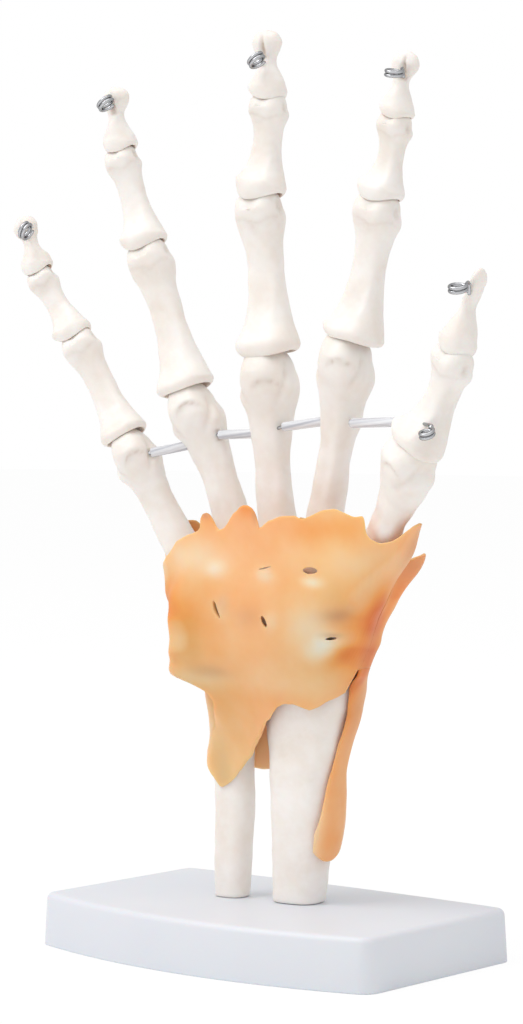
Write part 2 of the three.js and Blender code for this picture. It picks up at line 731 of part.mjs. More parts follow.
// How far a carpal may reach in a direction before it leaves the condyle's round
function condyleReach(middle, direction) {
  if (direction.z >= 0) {
    return Infinity;
  }
  let reach = CONDYLE_RADIUS;
  for (let i = 0; i < FIT_STEPS; i += 1) {
    const r = condyleRadius(middle.x + reach * direction.x);
    const a = direction.y ** 2 + direction.z ** 2;
    const b = middle.y * direction.y + middle.z * direction.z;
    const c = middle.y ** 2 + middle.z ** 2 - r * r;
    if (c > 0) {
      return Infinity;
    }
    reach = (-b + Math.sqrt(b * b - a * c)) / a;
  }
  return reach;
}

// Axes of a bone: z along it, y to the back of the hand, x towards the thumb side
function boneFrame(from, to, roll) {
  const along = to.clone().sub(from).normalize();
  const back = vector(Math.sin(radians(roll)), Math.cos(radians(roll)), 0);
  const across = back.clone().cross(along).normalize();
  const up = along.clone().cross(across);
  return new THREE.Matrix4().makeBasis(across, up, along).setPosition(from);
}

function place(mesh, frame) {
  frame.decompose(mesh.position, mesh.quaternion, mesh.scale);
}

const boneMeshes = [];
const coilGaps = [];

buildBase();
buildScrews();

const FOREARM = {
  radius: { foot: RADIUS_FOOT, shaft: RADIUS_SHAFT, head: RADIUS_HEAD, setback: 0, flare: RADIUS_FLARE },
  ulna: { foot: ULNA_FOOT, shaft: ULNA_SHAFT, head: ULNA_HEAD, setback: ULNA_SETBACK, flare: ULNA_FLARE },
};
for (const [name, sizes] of Object.entries(FOREARM)) {
  boneMeshes.push(addMesh(hand, name, forearmBone(sizes), BONE));
}
for (const name of Object.keys(CARPALS)) {
  boneMeshes.push(addMesh(hand, name, carpalBone(name), BONE));
}

// Bones and wires of each ray, from the metacarpal out
const BONE_NAMES = ["metacarpal", "proximal", "middle", "distal"];
for (const [rayName, ray] of Object.entries(RAYS)) {
  const joints = pathOf(ray.joints);
  const kinds = BONE_NAMES.filter((kind) => ray[kind]);
  let socket = null;
  kinds.forEach((kind, i) => {
    const bone = ray[kind];
    const length = joints[i + 1].distanceTo(joints[i]);
    const frame = boneFrame(joints[i], joints[i + 1], ray.roll);
    const isTip = kind === "distal";
    const body = isTip ? tipBone(bone, length, socket) : longBone(bone, length, socket);
    const low = socket ? cupHeight(socket, 0, 0) - WIRE_STUB : WIRE_START;
    let wirePath;
    if (isTip) {
      const exit = vector(ray.coil.side, -bone.head[1] - WIRE_RADIUS - FIT, ray.coil.up * length);
      const middle = exit.clone().add(vector(ray.coil.shift, -COIL_RADIUS - COIL_STANDOFF, COIL_LIFT));
      const coil = coilPath(middle, radians(COIL_START), COIL_RADIUS);
      wirePath = [vector(0, 0, low), exit, ...coil];
      coilGaps.push(selfGap(wirePath, COIL_RADIUS));
    } else {
      const crown = length + headRadius(bone.head, 0, !socket) + WIRE_STUB;
      wirePath = [vector(0, 0, low), vector(0, 0, crown)];
    }
    const aim = wirePath[1].clone().sub(wirePath[0]).normalize();
    const channel = [
      wirePath[0].clone().addScaledVector(aim, socket ? -CHANNEL_RUN : -CHANNEL_END),
      wirePath[1].clone().addScaledVector(aim, isTip ? CHANNEL_END : CHANNEL_RUN),
    ];
    const drilled = cut(body, [tube(channel, WIRE_RADIUS + FIT, HOLE_SIDES)]);
    const boneMesh = addMesh(hand, `${rayName}_${kind}`, drilled, BONE);
    place(boneMesh, frame);
    boneMeshes.push(boneMesh);
    const wireMesh = addMesh(hand, `wire_${rayName}_${kind}`, tube(wirePath, WIRE_RADIUS, WIRE_SIDES), STEEL);
    place(wireMesh, frame);
    if (!isTip) {
      const next = boneFrame(joints[i + 1], joints[i + 2], ray.roll);
      const turn = new THREE.Quaternion().setFromRotationMatrix(next);
      turn.premultiply(new THREE.Quaternion().setFromRotationMatrix(frame).invert());
      socket = { head: bone.head, knuckle: kind === "metacarpal", turn };
    }
  });
}

// Tie wire in two lengths: one held by the palm, and one that bends across to the thumb
function buildTie() {
  const split = pathOf(SPACERS.index_thumb)[0];
  const held = [...SPACERS.little_ring, ...SPACERS.ring_middle, ...SPACERS.middle_index];
  const palmRoute = [...pathOf([TIE_END, ...held]), split];
  addMesh(hand, "tie_wire_palm", tube(palmRoute, WIRE_RADIUS, WIRE_SIDES), STEEL);
  const thumb = pathOf(RAYS.thumb.joints);
  const frame = boneFrame(thumb[1], thumb[2], RAYS.thumb.roll);
  const tubeEnd = pathOf(SPACERS.index_thumb)[1];
  const onset = split.clone().lerp(tubeEnd, WIRE_BREAK / split.distanceTo(tubeEnd));
  const lean = radians(THUMB_EXIT_LEAN);
  const outward = vector(Math.sin(lean), -Math.cos(lean), 0);
  const exit = vector(...THUMB_EXIT).addScaledVector(outward, FIT + WIRE_RADIUS);
  const middle = exit.clone().addScaledVector(outward, TIE_COIL_RADIUS + COIL_STANDOFF);
  middle.z += COIL_LIFT;
  const start = radians(COIL_START) - lean;
  const coil = coilPath(middle, start, TIE_COIL_RADIUS).map((p) => p.applyMatrix4(frame));
  const thumbRoute = [onset, tubeEnd, exit.clone().applyMatrix4(frame), ...coil];
  coilGaps.push(selfGap(thumbRoute, TIE_COIL_RADIUS));
  addMesh(hand, "tie_wire_thumb", tube(thumbRoute, WIRE_RADIUS, WIRE_SIDES), STEEL);
  const routes = [palmRoute, thumbRoute.slice(0, 3)];
  const holes = routes.map((route) => tube(route, WIRE_RADIUS + FIT, HOLE_SIDES));
  for (const [name, ends] of Object.entries(SPACERS)) {
    const [from, to] = pathOf(ends);
    addMesh(hand, `spacer_${name}`, tube([from, to], TUBE_RADIUS, TUBE_SIDES, TUBE_BORE), CLEAR);
    const aim = to.clone().sub(from).normalize().multiplyScalar(FIT);
    holes.push(tube([from.clone().sub(aim), to.clone().add(aim)], TUBE_RADIUS + FIT, TUBE_SIDES));
  }
  for (const mesh of boneMeshes.filter((bone) => TIED_BONES.includes(bone.name))) {
    mesh.updateMatrix();
    const inverse = mesh.matrix.clone().invert();
    mesh.geometry = cut(mesh.geometry, holes.map((hole) => hole.clone().applyMatrix4(inverse)));
  }
}

buildTie();

// Points on the edges of the named bones, near the sheets' heights
function wrapPoints(names) {
  const points = [];
  for (const mesh of boneMeshes.filter((bone) => names.some((name) => bone.name.includes(name)))) {
    mesh.updateMatrix();
    const at = mesh.geometry.attributes.position;
    const index = mesh.geometry.index;
    const corner = (i) => vector().fromBufferAttribute(at, index.getX(i)).applyMatrix4(mesh.matrix);
    for (let i = 0; i < index.count; i += 3) {
      const triangle = [corner(i), corner(i + 1), corner(i + 2)];
      for (let side = 0; side < 3; side += 1) {
        for (const share of WRAP_SHARES) {
          points.push(triangle[side].clone().lerp(triangle[(side + 1) % 3], share));
        }
      }
    }
  }
  return points.filter((p) => p.z > WRAP_LOW - WRAP_REACH && p.z < WRAP_HIGH + WRAP_REACH);
}

// Outline of a convex wrap of points near one height
function wrapSlice(points, height) {
  const near = points.filter((p) => Math.abs(p.z - height) < WRAP_REACH);
  const reach = [];
  for (let k = 0; k < WRAP_TURNS; k += 1) {
    const turn = (2 * Math.PI * k) / WRAP_TURNS;
    const c = Math.cos(turn);
    const s = Math.sin(turn);
    let most = -Infinity;
    for (const p of near) {
      const far = Math.max(Math.abs(p.z - height) - WRAP_FLAT, 0) / WRAP_SOFT;
      most = Math.max(most, (p.x - SHEET_AXIS.x) * c + (p.y - SHEET_AXIS.y) * s - far * far);
    }
    reach.push(most);
  }
  return Array.from({ length: WRAP_TURNS }, (_, k) => {
    let least = Infinity;
    for (let other = 0; other < WRAP_TURNS; other += 1) {
      const lean = Math.cos((2 * Math.PI * (other - k)) / WRAP_TURNS);
      if (lean > WRAP_LEAN) {
        least = Math.min(least, reach[other] / lean);
      }
    }
    return least;
  });
}

// Distance out to the thumb's own bones, by turn, at one height, rounded off over the turns beside each point
function thumbSlice(points, height) {
  const slice = new Array(WRAP_TURNS).fill(0);
  for (const p of points.filter((q) => Math.abs(q.z - height) < THUMB_REACH)) {
    const x = p.x - SHEET_AXIS.x;
    const y = p.y - SHEET_AXIS.y;
    const distance = Math.hypot(x, y);
    const turn = (Math.atan2(y, x) / (2 * Math.PI)) * WRAP_TURNS;
    for (let k = Math.floor(turn) - THUMB_TURNS; k <= Math.ceil(turn) + THUMB_TURNS; k += 1) {
      const slot = (k + WRAP_TURNS) % WRAP_TURNS;
      slice[slot] = Math.max(slice[slot], distance - THUMB_ROUND * (k - turn) ** 2);
    }
  }
  return slice;
}

// Wrap of all the bones together, parting above the thumb's saddle joint
function buildWrap() {
  const rays = ["index_metacarpal", "middle_metacarpal", "ring_metacarpal", "little_metacarpal"];
  const palm = wrapPoints(["radius", "ulna", ...Object.keys(CARPALS), ...rays]);
  const thumb = wrapPoints(["thumb_metacarpal", "trapezium"]);
  const rows = [];
  for (let height = WRAP_LOW; height <= WRAP_HIGH; height += WRAP_ROW) {
    const free = THREE.MathUtils.smoothstep(height, THUMB_FREE[0], THUMB_FREE[1]);
    const together = wrapSlice([...palm, ...thumb], height);
    const alone = wrapSlice(palm, height);
    const own = thumbSlice(thumb, height);
    rows.push(together.map((r, k) => lerp(r, Math.max(alone[k], own[k]), free)));
  }
  return rows;
}

// Evens the wrap out by turn without letting it cut into a bone
function evened(rows) {
  return rows.map((row) => {
    const soft = row.map((r, k) => {
      const before = row[(k + WRAP_TURNS - 1) % WRAP_TURNS];
      const after = row[(k + 1) % WRAP_TURNS];
      return (before + 2 * r + after) / 4;
    });
    return row.map((r, k) => Math.max(r, soft[k]));
  });
}

// Carries each corner of the wrap over to the turns beside it, so that flat stretches clear it
function widened(rows) {
  return rows.map((row) => row.map((r, k) =>
    Math.max(r, row[(k + WRAP_TURNS - 1) % WRAP_TURNS], row[(k + 1) % WRAP_TURNS])));
}

const wrap = evened(evened(evened(widened(buildWrap()))));

// Distance from the sheet axis to the wrap, between its rows and turns
function wrapRadius(turn, height) {
  const row = clamp((height - WRAP_LOW) / WRAP_ROW, 0, wrap.length - WRAP_INSIDE);
  const column = ((turn / (2 * Math.PI)) * WRAP_TURNS + 2 * WRAP_TURNS) % WRAP_TURNS;
  const i = Math.floor(row);
  const k = Math.floor(column);
  const next = (k + 1) % WRAP_TURNS;
  const low = lerp(wrap[i][k], wrap[i][next], column - k);
  const high = lerp(wrap[i + 1][k], wrap[i + 1][next], column - k);
  return lerp(low, high, row - i);
}

// Point a given distance outside the wrap
function wrapPoint(degrees, height, out) {
  const turn = radians(degrees);
  const away = ((degrees - FLARE.turn) / FLARE.spread) ** 2 + ((height - FLARE.height) / FLARE.rise) ** 2;
  const r = wrapRadius(turn, height) + out + FLARE.out * Math.exp(-away);
  return vector(SHEET_AXIS.x + r * Math.cos(turn), SHEET_AXIS.y + r * Math.sin(turn), height);
}

// Value along a list of [turn, height] points
function edgeAt(points, turn) {
  const after = points.findIndex((point) => point[0] >= turn);
  if (after <= 0) {
    return after === 0 ? points[0][1] : points[points.length - 1][1];
  }
  const [from, low] = points[after - 1];
  const [to, high] = points[after];
  return lerp(low, high, (turn - from) / (to - from));
}

// Sheet between two grids of points, closed round its rim
function slab(inner, outer) {
  const rows = inner.length;
  const columns = inner[0].length;
  const points = [...inner.flat(), ...outer.flat()];
  const shift = rows * columns;
  const faces = [];
  const quad = (a, b, c, d) => faces.push(a, b, c, a, c, d);
  for (let i = 0; i + 1 < rows; i += 1) {
    for (let j = 0; j + 1 < columns; j += 1) {
      const a = i * columns + j;
      quad(shift + a, shift + a + columns, shift + a + columns + 1, shift + a + 1);
      quad(a, a + 1, a + columns + 1, a + columns);
    }
    const first = i * columns;
    const last = first + columns - 1;
    quad(first, first + columns, shift + first + columns, shift + first);
    quad(last + columns, last, shift + last, shift + last + columns);
  }
  for (let j = 0; j + 1 < columns; j += 1) {
    const end = (rows - 1) * columns + j;
    quad(j + 1, j, shift + j, shift + j + 1);
    quad(end, end + 1, shift + end + 1, shift + end);
  }
  return geometryOf(points, faces);
}

// Ligament sheet: columns by turn from one side to the other, rows from its low edge to its high edge
function sheetGeometry({ columns, rows, from, to, low, high }) {
  const gridOf = (out) =>
    Array.from({ length: columns + 1 }, (_, i) => {
      const turn = lerp(from, to, i / columns);
      return Array.from({ length: rows + 1 }, (__, j) => {
        const height = lerp(edgeAt(low, turn), edgeAt(high, turn), j / rows);
        return wrapPoint(turn, height, out);
      });
    });
  return slab(gridOf(SHEET_GAP), gridOf(SHEET_GAP + SHEET_THICKNESS));
}

// Oval tool that cuts one opening square to the sheet
function openingTool({ turn, height, wide, tall, lean }) {
  const tool = new THREE.CylinderGeometry(1, 1, OPENING_DEPTH, OPENING_SIDES);
  tool.scale(wide, 1, tall);
  tool.rotateY(radians(lean));
  tool.rotateZ(radians(turn + 90));
  const middle = wrapPoint(turn, height, SHEET_GAP + SHEET_THICKNESS / 2);
  tool.translate(middle.x, middle.y, middle.z);
  return tool;
}

// Long strip down the thumb side of the radius
function stripGeometry() {
  const gridOf = (out) =>
    Array.from({ length: STRIP.columns + 1 }, (_, j) =>
      Array.from({ length: STRIP.rows + 1 }, (__, i) => {
        const height = lerp(STRIP.bottom, STRIP.top, i / STRIP.rows);
        const middle = edgeAt(STRIP.middle, height);
        const r = wrapRadius(radians(middle), height);
        const spread = THREE.MathUtils.radToDeg(edgeAt(STRIP.halfWidth, height) / r);
        return wrapPoint(middle + spread * ((2 * j) / STRIP.columns - 1), height, out);
      }));
  return slab(gridOf(SHEET_GAP), gridOf(SHEET_GAP + SHEET_THICKNESS));
}

addMesh(hand, "ligament_palmar", cut(sheetGeometry(PALMAR), OPENINGS.map(openingTool)), LIGAMENT);
addMesh(hand, "ligament_dorsal", sheetGeometry(DORSAL), LIGAMENT);
addMesh(hand, "ligament_radial_strip", stripGeometry(), LIGAMENT);

console.log(`least gap of a coiled wire to itself: ${Math.min(...coilGaps).toFixed(2)} mm`);

export default model;
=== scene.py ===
import math

import bpy
import numpy as np
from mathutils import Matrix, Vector


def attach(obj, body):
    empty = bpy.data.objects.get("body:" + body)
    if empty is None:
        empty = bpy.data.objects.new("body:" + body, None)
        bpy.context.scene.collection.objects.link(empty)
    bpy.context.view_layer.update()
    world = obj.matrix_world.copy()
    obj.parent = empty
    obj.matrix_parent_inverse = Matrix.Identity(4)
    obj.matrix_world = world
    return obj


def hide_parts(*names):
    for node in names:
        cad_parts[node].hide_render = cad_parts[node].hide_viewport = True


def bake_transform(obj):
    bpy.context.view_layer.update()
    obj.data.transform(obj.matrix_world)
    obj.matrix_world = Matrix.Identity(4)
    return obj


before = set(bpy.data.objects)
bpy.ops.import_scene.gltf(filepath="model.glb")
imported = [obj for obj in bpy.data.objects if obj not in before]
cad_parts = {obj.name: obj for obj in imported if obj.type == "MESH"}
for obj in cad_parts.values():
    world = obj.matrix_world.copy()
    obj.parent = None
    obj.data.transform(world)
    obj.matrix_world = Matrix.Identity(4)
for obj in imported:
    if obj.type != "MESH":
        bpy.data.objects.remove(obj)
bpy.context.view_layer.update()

# The view: level with the palm, about 0.85 m away, and 40 degrees round from the front to the thumb side.
# The long lens keeps the hand nearly free of perspective.
EYE = Vector((0.5430, -0.6529, 0.1541))
AIM = Vector((-0.0042, 0.0, 0.1275))
LENS = 103.6
camera = bpy.data.objects.new("camera", bpy.data.cameras.new("camera"))
bpy.context.collection.objects.link(camera)
camera.location = EYE
camera.rotation_euler = (AIM - EYE).to_track_quat("-Z", "Y").to_euler()
camera.data.lens = LENS
bpy.context.scene.camera = camera


def linear(code):
    """Linear colour of an sRGB hex value, with alpha 1."""
    coded = np.array([int(code[i:i + 2], 16) for i in (1, 3, 5)]) / 255
    rgb = np.where(coded <= 0.04045, coded / 12.92, ((coded + 0.055) / 1.055) ** 2.4)
    return (*(float(value) for value in rgb), 1.0)


def new_material(name):
    """Empty node material, its node tree and its output node."""
    material = bpy.data.materials.new(name)
    material.use_nodes = True
    tree = material.node_tree
    tree.nodes.clear()
    return material, tree, tree.nodes.new("ShaderNodeOutputMaterial")


def add_node(tree, kind, settings=None, **inputs):
    """Adds a node. Settings are its own properties. Inputs are socket values or links, by name, or by number
    after an underscore."""
    node = tree.nodes.new(kind)
    for key, value in (settings or {}).items():
        setattr(node, key, value)
    for key, value in inputs.items():
        socket = node.inputs[int(key[1:]) if key[0] == "_" else key.replace("_", " ")]
        if isinstance(value, bpy.types.NodeSocket):
            tree.links.new(value, socket)
        else:
            socket.default_value = value
    return node


# Studio: a white paper floor and a large soft lamp from the upper left, with the room's own light all round.
# The floor shows nearly white to the camera and keeps a faint shadow under the base.
FLOOR_REACH, PAPER_GLOW, PAPER_GLOW_SHARE, ROOM_LIGHT = 6, 1.02, 0.9, 0.75
# Each lamp's place and size in metres, and its power in watts
LAMPS = {"key": ((-0.55, -0.8, 1.45), 1.0, 10.0), "top": ((0.2, -0.2, 1.5), 0.8, 3.0)}
floor_mesh = bpy.data.meshes.new("studio_floor")
corners = [(x * FLOOR_REACH, y * FLOOR_REACH, 0) for x, y in [(-1, -1), (1, -1), (1, 1), (-1, 1)]]
floor_mesh.from_pydata(corners, [], [(0, 1, 2, 3)])
floor = bpy.data.objects.new("studio_floor", floor_mesh)
bpy.context.collection.objects.link(floor)
paper, tree, out = new_material("white_paper_sweep")
matt = add_node(tree, "ShaderNodeBsdfDiffuse", Color=linear("#F4F4F4"))
glow = add_node(tree, "ShaderNodeEmission", Color=(1, 1, 1, 1), Strength=PAPER_GLOW)
path = add_node(tree, "ShaderNodeLightPath")
seen = add_node(tree, "ShaderNodeMath", {"operation": "MULTIPLY"},
                _0=path.outputs["Is Camera Ray"], _1=PAPER_GLOW_SHARE)
mix = add_node(tree, "ShaderNodeMixShader", _0=seen.outputs[0], _1=matt.outputs[0], _2=glow.outputs[0])
tree.links.new(mix.outputs[0], out.inputs["Surface"])
floor_mesh.materials.append(paper)

world = bpy.data.worlds.new("studio")
bpy.context.scene.world = world
world.use_nodes = True
tree = world.node_tree
tree.nodes.clear()
path = add_node(tree, "ShaderNodeLightPath")
direct = add_node(tree, "ShaderNodeMath", {"operation": "MAXIMUM"},
                  _0=path.outputs["Is Camera Ray"], _1=path.outputs["Is Transmission Ray"])
room = add_node(tree, "ShaderNodeBackground", Color=(1, 1, 1, 1), Strength=ROOM_LIGHT)
white = add_node(tree, "ShaderNodeBackground", Color=(1, 1, 1, 1), Strength=1.0)
mix = add_node(tree, "ShaderNodeMixShader", _0=direct.outputs[0], _1=room.outputs[0], _2=white.outputs[0])
out = add_node(tree, "ShaderNodeOutputWorld", Surface=mix.outputs[0])

for name, (spot, size, watts) in LAMPS.items():
    lamp = bpy.data.objects.new(name, bpy.data.lights.new(name, "AREA"))
    bpy.context.collection.objects.link(lamp)
    lamp.location = spot
    lamp.rotation_euler = (AIM - Vector(spot)).to_track_quat("-Z", "Y").to_euler()
    lamp.data.size = size
    lamp.data.energy = watts
bpy.context.scene.view_settings.view_transform = "Standard"


# Base: one white ABS moulding, open below, with a bowed front and a soft top edge.
# Two bosses and a middle rib under the plate take the screws that hold the forearm bones.
BASE_LENGTH, BASE_WIDTH, BASE_HEIGHT = 123.0, 66.0, 15.3
BASE_WALL, BASE_PLATE, BASE_DRAFT, BASE_EDGE, BASE_CORNER = 2.6, 3.2, 0.8, 2.0, 4.0
BASE_CEILING = BASE_HEIGHT - BASE_PLATE
FRONT_BOW, BACK_BOW = 10.0, 2.0
BOSS_RADIUS, BOSS_BORE, SUNK = 6.5, 4.0, 0.5
RIB_HALF, RIB_EDGE = 2.0, 0.4
BOSSES = {"radius": (7.99, 2.34), "ulna": (-13.44, -2.19)}
RIB_RUNS = [(-60.0, -18.1), (-8.8, 3.4), (12.6, 60.0)]


def base_ring(inset, height):
    """Plan outline of the base in mm: a rectangle with round corners, its long sides bowed as parabolas."""
    corner = max(BASE_CORNER - inset, 0.6)
    half = np.array([BASE_LENGTH / 2 - inset - corner, BASE_WIDTH / 2 - inset - corner])
    signs = np.array([(1, -1), (1, 1), (-1, 1), (-1, -1)])
    parts = []
    for k, sign in enumerate(signs):
        turn = np.radians(-90 + 90 * k + np.linspace(0, 90, 11))
        bend = corner * np.stack([np.cos(turn), np.sin(turn)], 1)
        round_corner = sign * half + bend
        run = np.linspace(0, 1, 42 if k % 2 else 14)[1:-1, None]
        start = round_corner[-1]
        end = signs[(k + 1) % 4] * half + bend[-1]
        parts += [round_corner, start + run * (end - start)]
    plan = np.concatenate(parts)
    bow = np.where(plan[:, 1] < 0, FRONT_BOW, BACK_BOW) * (1 - (plan[:, 0] / (BASE_LENGTH / 2)) ** 2)
    plan[:, 1] += np.sign(plan[:, 1]) * bow
    return np.column_stack([plan, np.full(len(plan), height)])


def skin_faces(rows, sides):
    """Faces of a closed skin over rings of points, with a fan to one point at each end, as index lists."""
    side = np.arange(sides)
    after = (side + 1) % sides
    low = 1 + np.arange(rows - 1)[:, None] * sides
    quads = np.stack([low + side, low + after, low + sides + after, low + sides + side], -1).reshape(-1, 4)
    top = 1 + (rows - 1) * sides
    first = np.stack([np.zeros_like(side), 1 + after, 1 + side], -1)
    last = np.stack([top + side, top + after, np.full_like(side, top + sides)], -1)
    return quads.tolist() + first.tolist() + last.tolist()


def bored_faces(rows, sides):
    """Faces over rings that run up the outside and back down a bore, the last ring joined to the first."""
    side = np.arange(sides)
    after = (side + 1) % sides
    low = np.arange(rows)[:, None] * sides
    high = np.roll(low, -1, 0)
    return np.stack([low + side, low + after, high + after, high + side], -1).reshape(-1, 4).tolist()


def make_piece(name, points, faces, material, body, nodes=(), smooth=True):
    """Mesh object from points in mm, put on its body, if it has one, and in place of its CAD nodes."""
    mesh = bpy.data.meshes.new(name)
    mesh.from_pydata((np.asarray(points) / 1000).tolist(), [], faces)
    if smooth:
        mesh.shade_smooth()
    mesh.materials.append(material)
    piece = bpy.data.objects.new(name, mesh)
    bpy.context.collection.objects.link(piece)
    if body:
        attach(piece, body)
    if nodes:
        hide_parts(*nodes)
    return piece


def skin_points(rings):
    """Points of a closed skin: the mean of the first ring, all rings, the mean of the last ring."""
    rings = np.asarray(rings)
    return np.concatenate([rings[:1].mean(1), rings.reshape(-1, 3), rings[-1:].mean(1)])


# ABS out of a spark-eroded mould: satin, with an even grain under a millimetre that takes the shine off,
# and a very faint cloudiness some centimetres across
abs_white, tree, out = new_material("white_abs_moulded")
place = add_node(tree, "ShaderNodeTexCoord")
grain = add_node(tree, "ShaderNodeTexNoise", Vector=place.outputs["Object"], Scale=1400.0, Detail=2.0)
cloud = add_node(tree, "ShaderNodeTexNoise", Vector=place.outputs["Object"], Scale=28.0, Detail=2.0)
tint = add_node(tree, "ShaderNodeMix", {"data_type": "RGBA"}, Factor=cloud.outputs["Fac"],
                _6=linear("#DBDEE6"), _7=linear("#E2E5EA"))
bump = add_node(tree, "ShaderNodeBump", Height=grain.outputs["Fac"], Strength=0.12, Distance=0.0002)
satin = add_node(tree, "ShaderNodeBsdfPrincipled", Base_Color=tint.outputs[2], Roughness=0.42,
                 Normal=bump.outputs[0], Subsurface_Weight=0.15, Subsurface_Scale=0.003)
tree.links.new(satin.outputs[0], out.inputs["Surface"])

# Inset and height of each ring, in mm: across the ceiling, down the inner wall, round the foot, up the
# outer wall and over the round edge to the top. Inside PLATE_INSET a fan closes both faces of the plate.
PLATE_INSET, inner_top = 14, BASE_WALL + BASE_DRAFT
profile = [(PLATE_INSET, BASE_CEILING), (inner_top + 0.5, BASE_CEILING), (inner_top, BASE_CEILING),
           (inner_top, BASE_CEILING - 0.5), (BASE_WALL, 0.3), (BASE_WALL, 0.05), (BASE_WALL - 0.1, 0),
           (0.35, 0), (0.08, 0.1), (0.0, 0.4)]
for turn in np.radians(np.linspace(0, 90, 9)):
    inset = BASE_DRAFT + BASE_EDGE * (1 - math.cos(turn))
    profile.append((inset, BASE_HEIGHT - BASE_EDGE + BASE_EDGE * math.sin(turn)))
profile += [(BASE_DRAFT + BASE_EDGE + 0.6, BASE_HEIGHT), (PLATE_INSET, BASE_HEIGHT)]
rings = [base_ring(inset, height) for inset, height in profile]
make_piece("base_moulding", skin_points(rings), skin_faces(len(rings), len(rings[0])), abs_white,
           "forearm", ["base_shell"])

# Each boss is a bored post: radius and height of its profile, with small bevels at its foot
boss_profile = np.array([(BOSS_BORE, 0.2), (BOSS_BORE + 0.2, 0), (BOSS_RADIUS - 0.2, 0), (BOSS_RADIUS, 0.2),
                         (BOSS_RADIUS, BASE_CEILING + SUNK), (BOSS_BORE, BASE_CEILING + SUNK)])
turn = np.radians(np.arange(0, 360, 7.5))
for bone, (x, y) in BOSSES.items():
    points = np.stack([x + boss_profile[:, :1] * np.cos(turn), y + boss_profile[:, :1] * np.sin(turn),
                       np.repeat(boss_profile[:, 1:], len(turn), 1)], -1).reshape(-1, 3)
    make_piece(f"base_boss_{bone}", points, bored_faces(len(boss_profile), len(turn)), abs_white,
               "forearm", smooth=False)

# Middle rib, in three lengths between the end walls and the bosses
box_faces = [(0, 1, 3, 2), (4, 6, 7, 5), (0, 4, 5, 1), (2, 3, 7, 6), (0, 2, 6, 4), (1, 5, 7, 3)]
for k, run in enumerate(RIB_RUNS):
    x, y, z = np.meshgrid(run, [-RIB_HALF, RIB_HALF], [0.0, BASE_CEILING + SUNK], indexing="ij")
    rib = make_piece(f"base_rib_{k}", np.stack([x, y, z], -1).reshape(-1, 3), box_faces, abs_white,
                     "forearm", smooth=False)
    edge = rib.modifiers.new("edge", "BEVEL")
    edge.width = RIB_EDGE / 1000
    edge.segments = 2


# Base screws: zinc plated steel with pan heads, up through the plate into the feet of radius and ulna.
# Each is a profile turned about its axis, with a rolled thread and a cross recess pressed into the head.
SCREW_RADIUS, HEAD_RADIUS, HEAD_HEIGHT, SCREW_TIP = 1.5, 3.4, 2.2, BASE_HEIGHT + 12.0
THREAD_PITCH, THREAD_DEPTH, RECESS_DEPTH, RECESS_HALF, RECESS_REACH = 1.1, 0.28, 1.3, 0.45, 1.9
SCREW_SEAT = BASE_CEILING - 0.3

# Bright drawn or plated steel. Its grain is too fine to show singly, so it is drawn coarser here.
# Its colour is painted darker towards its edges, a painted reflection of dark surroundings beyond the lamps.
steel, tree, out = new_material("bright_steel")
place = add_node(tree, "ShaderNodeTexCoord")
lines = add_node(tree, "ShaderNodeTexNoise", Vector=place.outputs["Object"], Scale=2600.0, Detail=2.0)
dull = add_node(tree, "ShaderNodeTexNoise", Vector=place.outputs["Object"], Scale=500.0, Detail=1.0)
rough = add_node(tree, "ShaderNodeMapRange", Value=dull.outputs["Fac"], To_Min=0.14, To_Max=0.26)
bump = add_node(tree, "ShaderNodeBump", Height=lines.outputs["Fac"], Strength=0.08, Distance=0.00002)
# Painted reflection: the colour darkens from the facing middle to the grazing edges
edge = add_node(tree, "ShaderNodeLayerWeight", Blend=0.4)
painted_reflection = add_node(tree, "ShaderNodeMix", {"data_type": "RGBA"}, Factor=edge.outputs["Facing"],
                 _6=linear("#CFD0D3"), _7=linear("#2E2F32"))
metal = add_node(tree, "ShaderNodeBsdfPrincipled", Base_Color=painted_reflection.outputs[2], Metallic=1.0,
                 Roughness=rough.outputs[0], Normal=bump.outputs[0])
tree.links.new(metal.outputs[0], out.inputs["Surface"])

turn = np.radians(np.arange(0, 360, 5))
reach = HEAD_RADIUS * np.concatenate([np.linspace(0.15, 0.75, 14), [0.93, 1, 1]])
dome = SCREW_SEAT - HEAD_HEIGHT + 0.8 * (reach / HEAD_RADIUS) ** 4
dome[-1] = SCREW_SEAT
across = reach[:, None] * np.cos(turn)
along = reach[:, None] * np.sin(turn)
pressed = np.clip(1.2 - np.minimum(np.abs(across), np.abs(along)) / RECESS_HALF, 0, 1)
pressed *= RECESS_DEPTH * np.clip((RECESS_REACH - reach[:, None]) / 0.4, 0, 1)
head = np.stack([across, along, dome[:, None] + pressed], -1)
heights = np.linspace(SCREW_SEAT, SCREW_TIP - 2, 60)[:, None]
thread = SCREW_RADIUS - THREAD_DEPTH * (0.5 - 0.5 * np.cos(2 * np.pi * heights / THREAD_PITCH + turn))
shank = np.stack([thread * np.cos(turn), thread * np.sin(turn), np.repeat(heights, len(turn), 1)], -1)
screw = np.concatenate([head, shank, shank[-1:] * [0.2, 0.2, 1] + [0, 0, 2]])
for bone, (x, y) in BOSSES.items():
    make_piece(f"screw_{bone}", skin_points(screw + [x, y, 0]), skin_faces(len(screw), len(turn)), steel,
               "forearm", [f"base_screw_{bone}"])


# Bones: hard PVC castings of a real right hand, off-white and faintly pink.
# Each long bone is a loft: a hollow base, a waisted shaft that bows to the back, and a rounded head.
# The hollow base of each bone stays one joint gap clear of the head that it turns on.
# That gap in mm, how many head radii out a hollow follows the head, in half widths how far over the rim the
# shaft starts and how far the rim on a knuckle drops at its sides, and in mm how far every rim drops
JOINT_GAP, LIP, RIM_SHARE, CHEEK_SHARE, RIM_DROP = 0.7, 0.86, 0.26, 0.1, 0.9
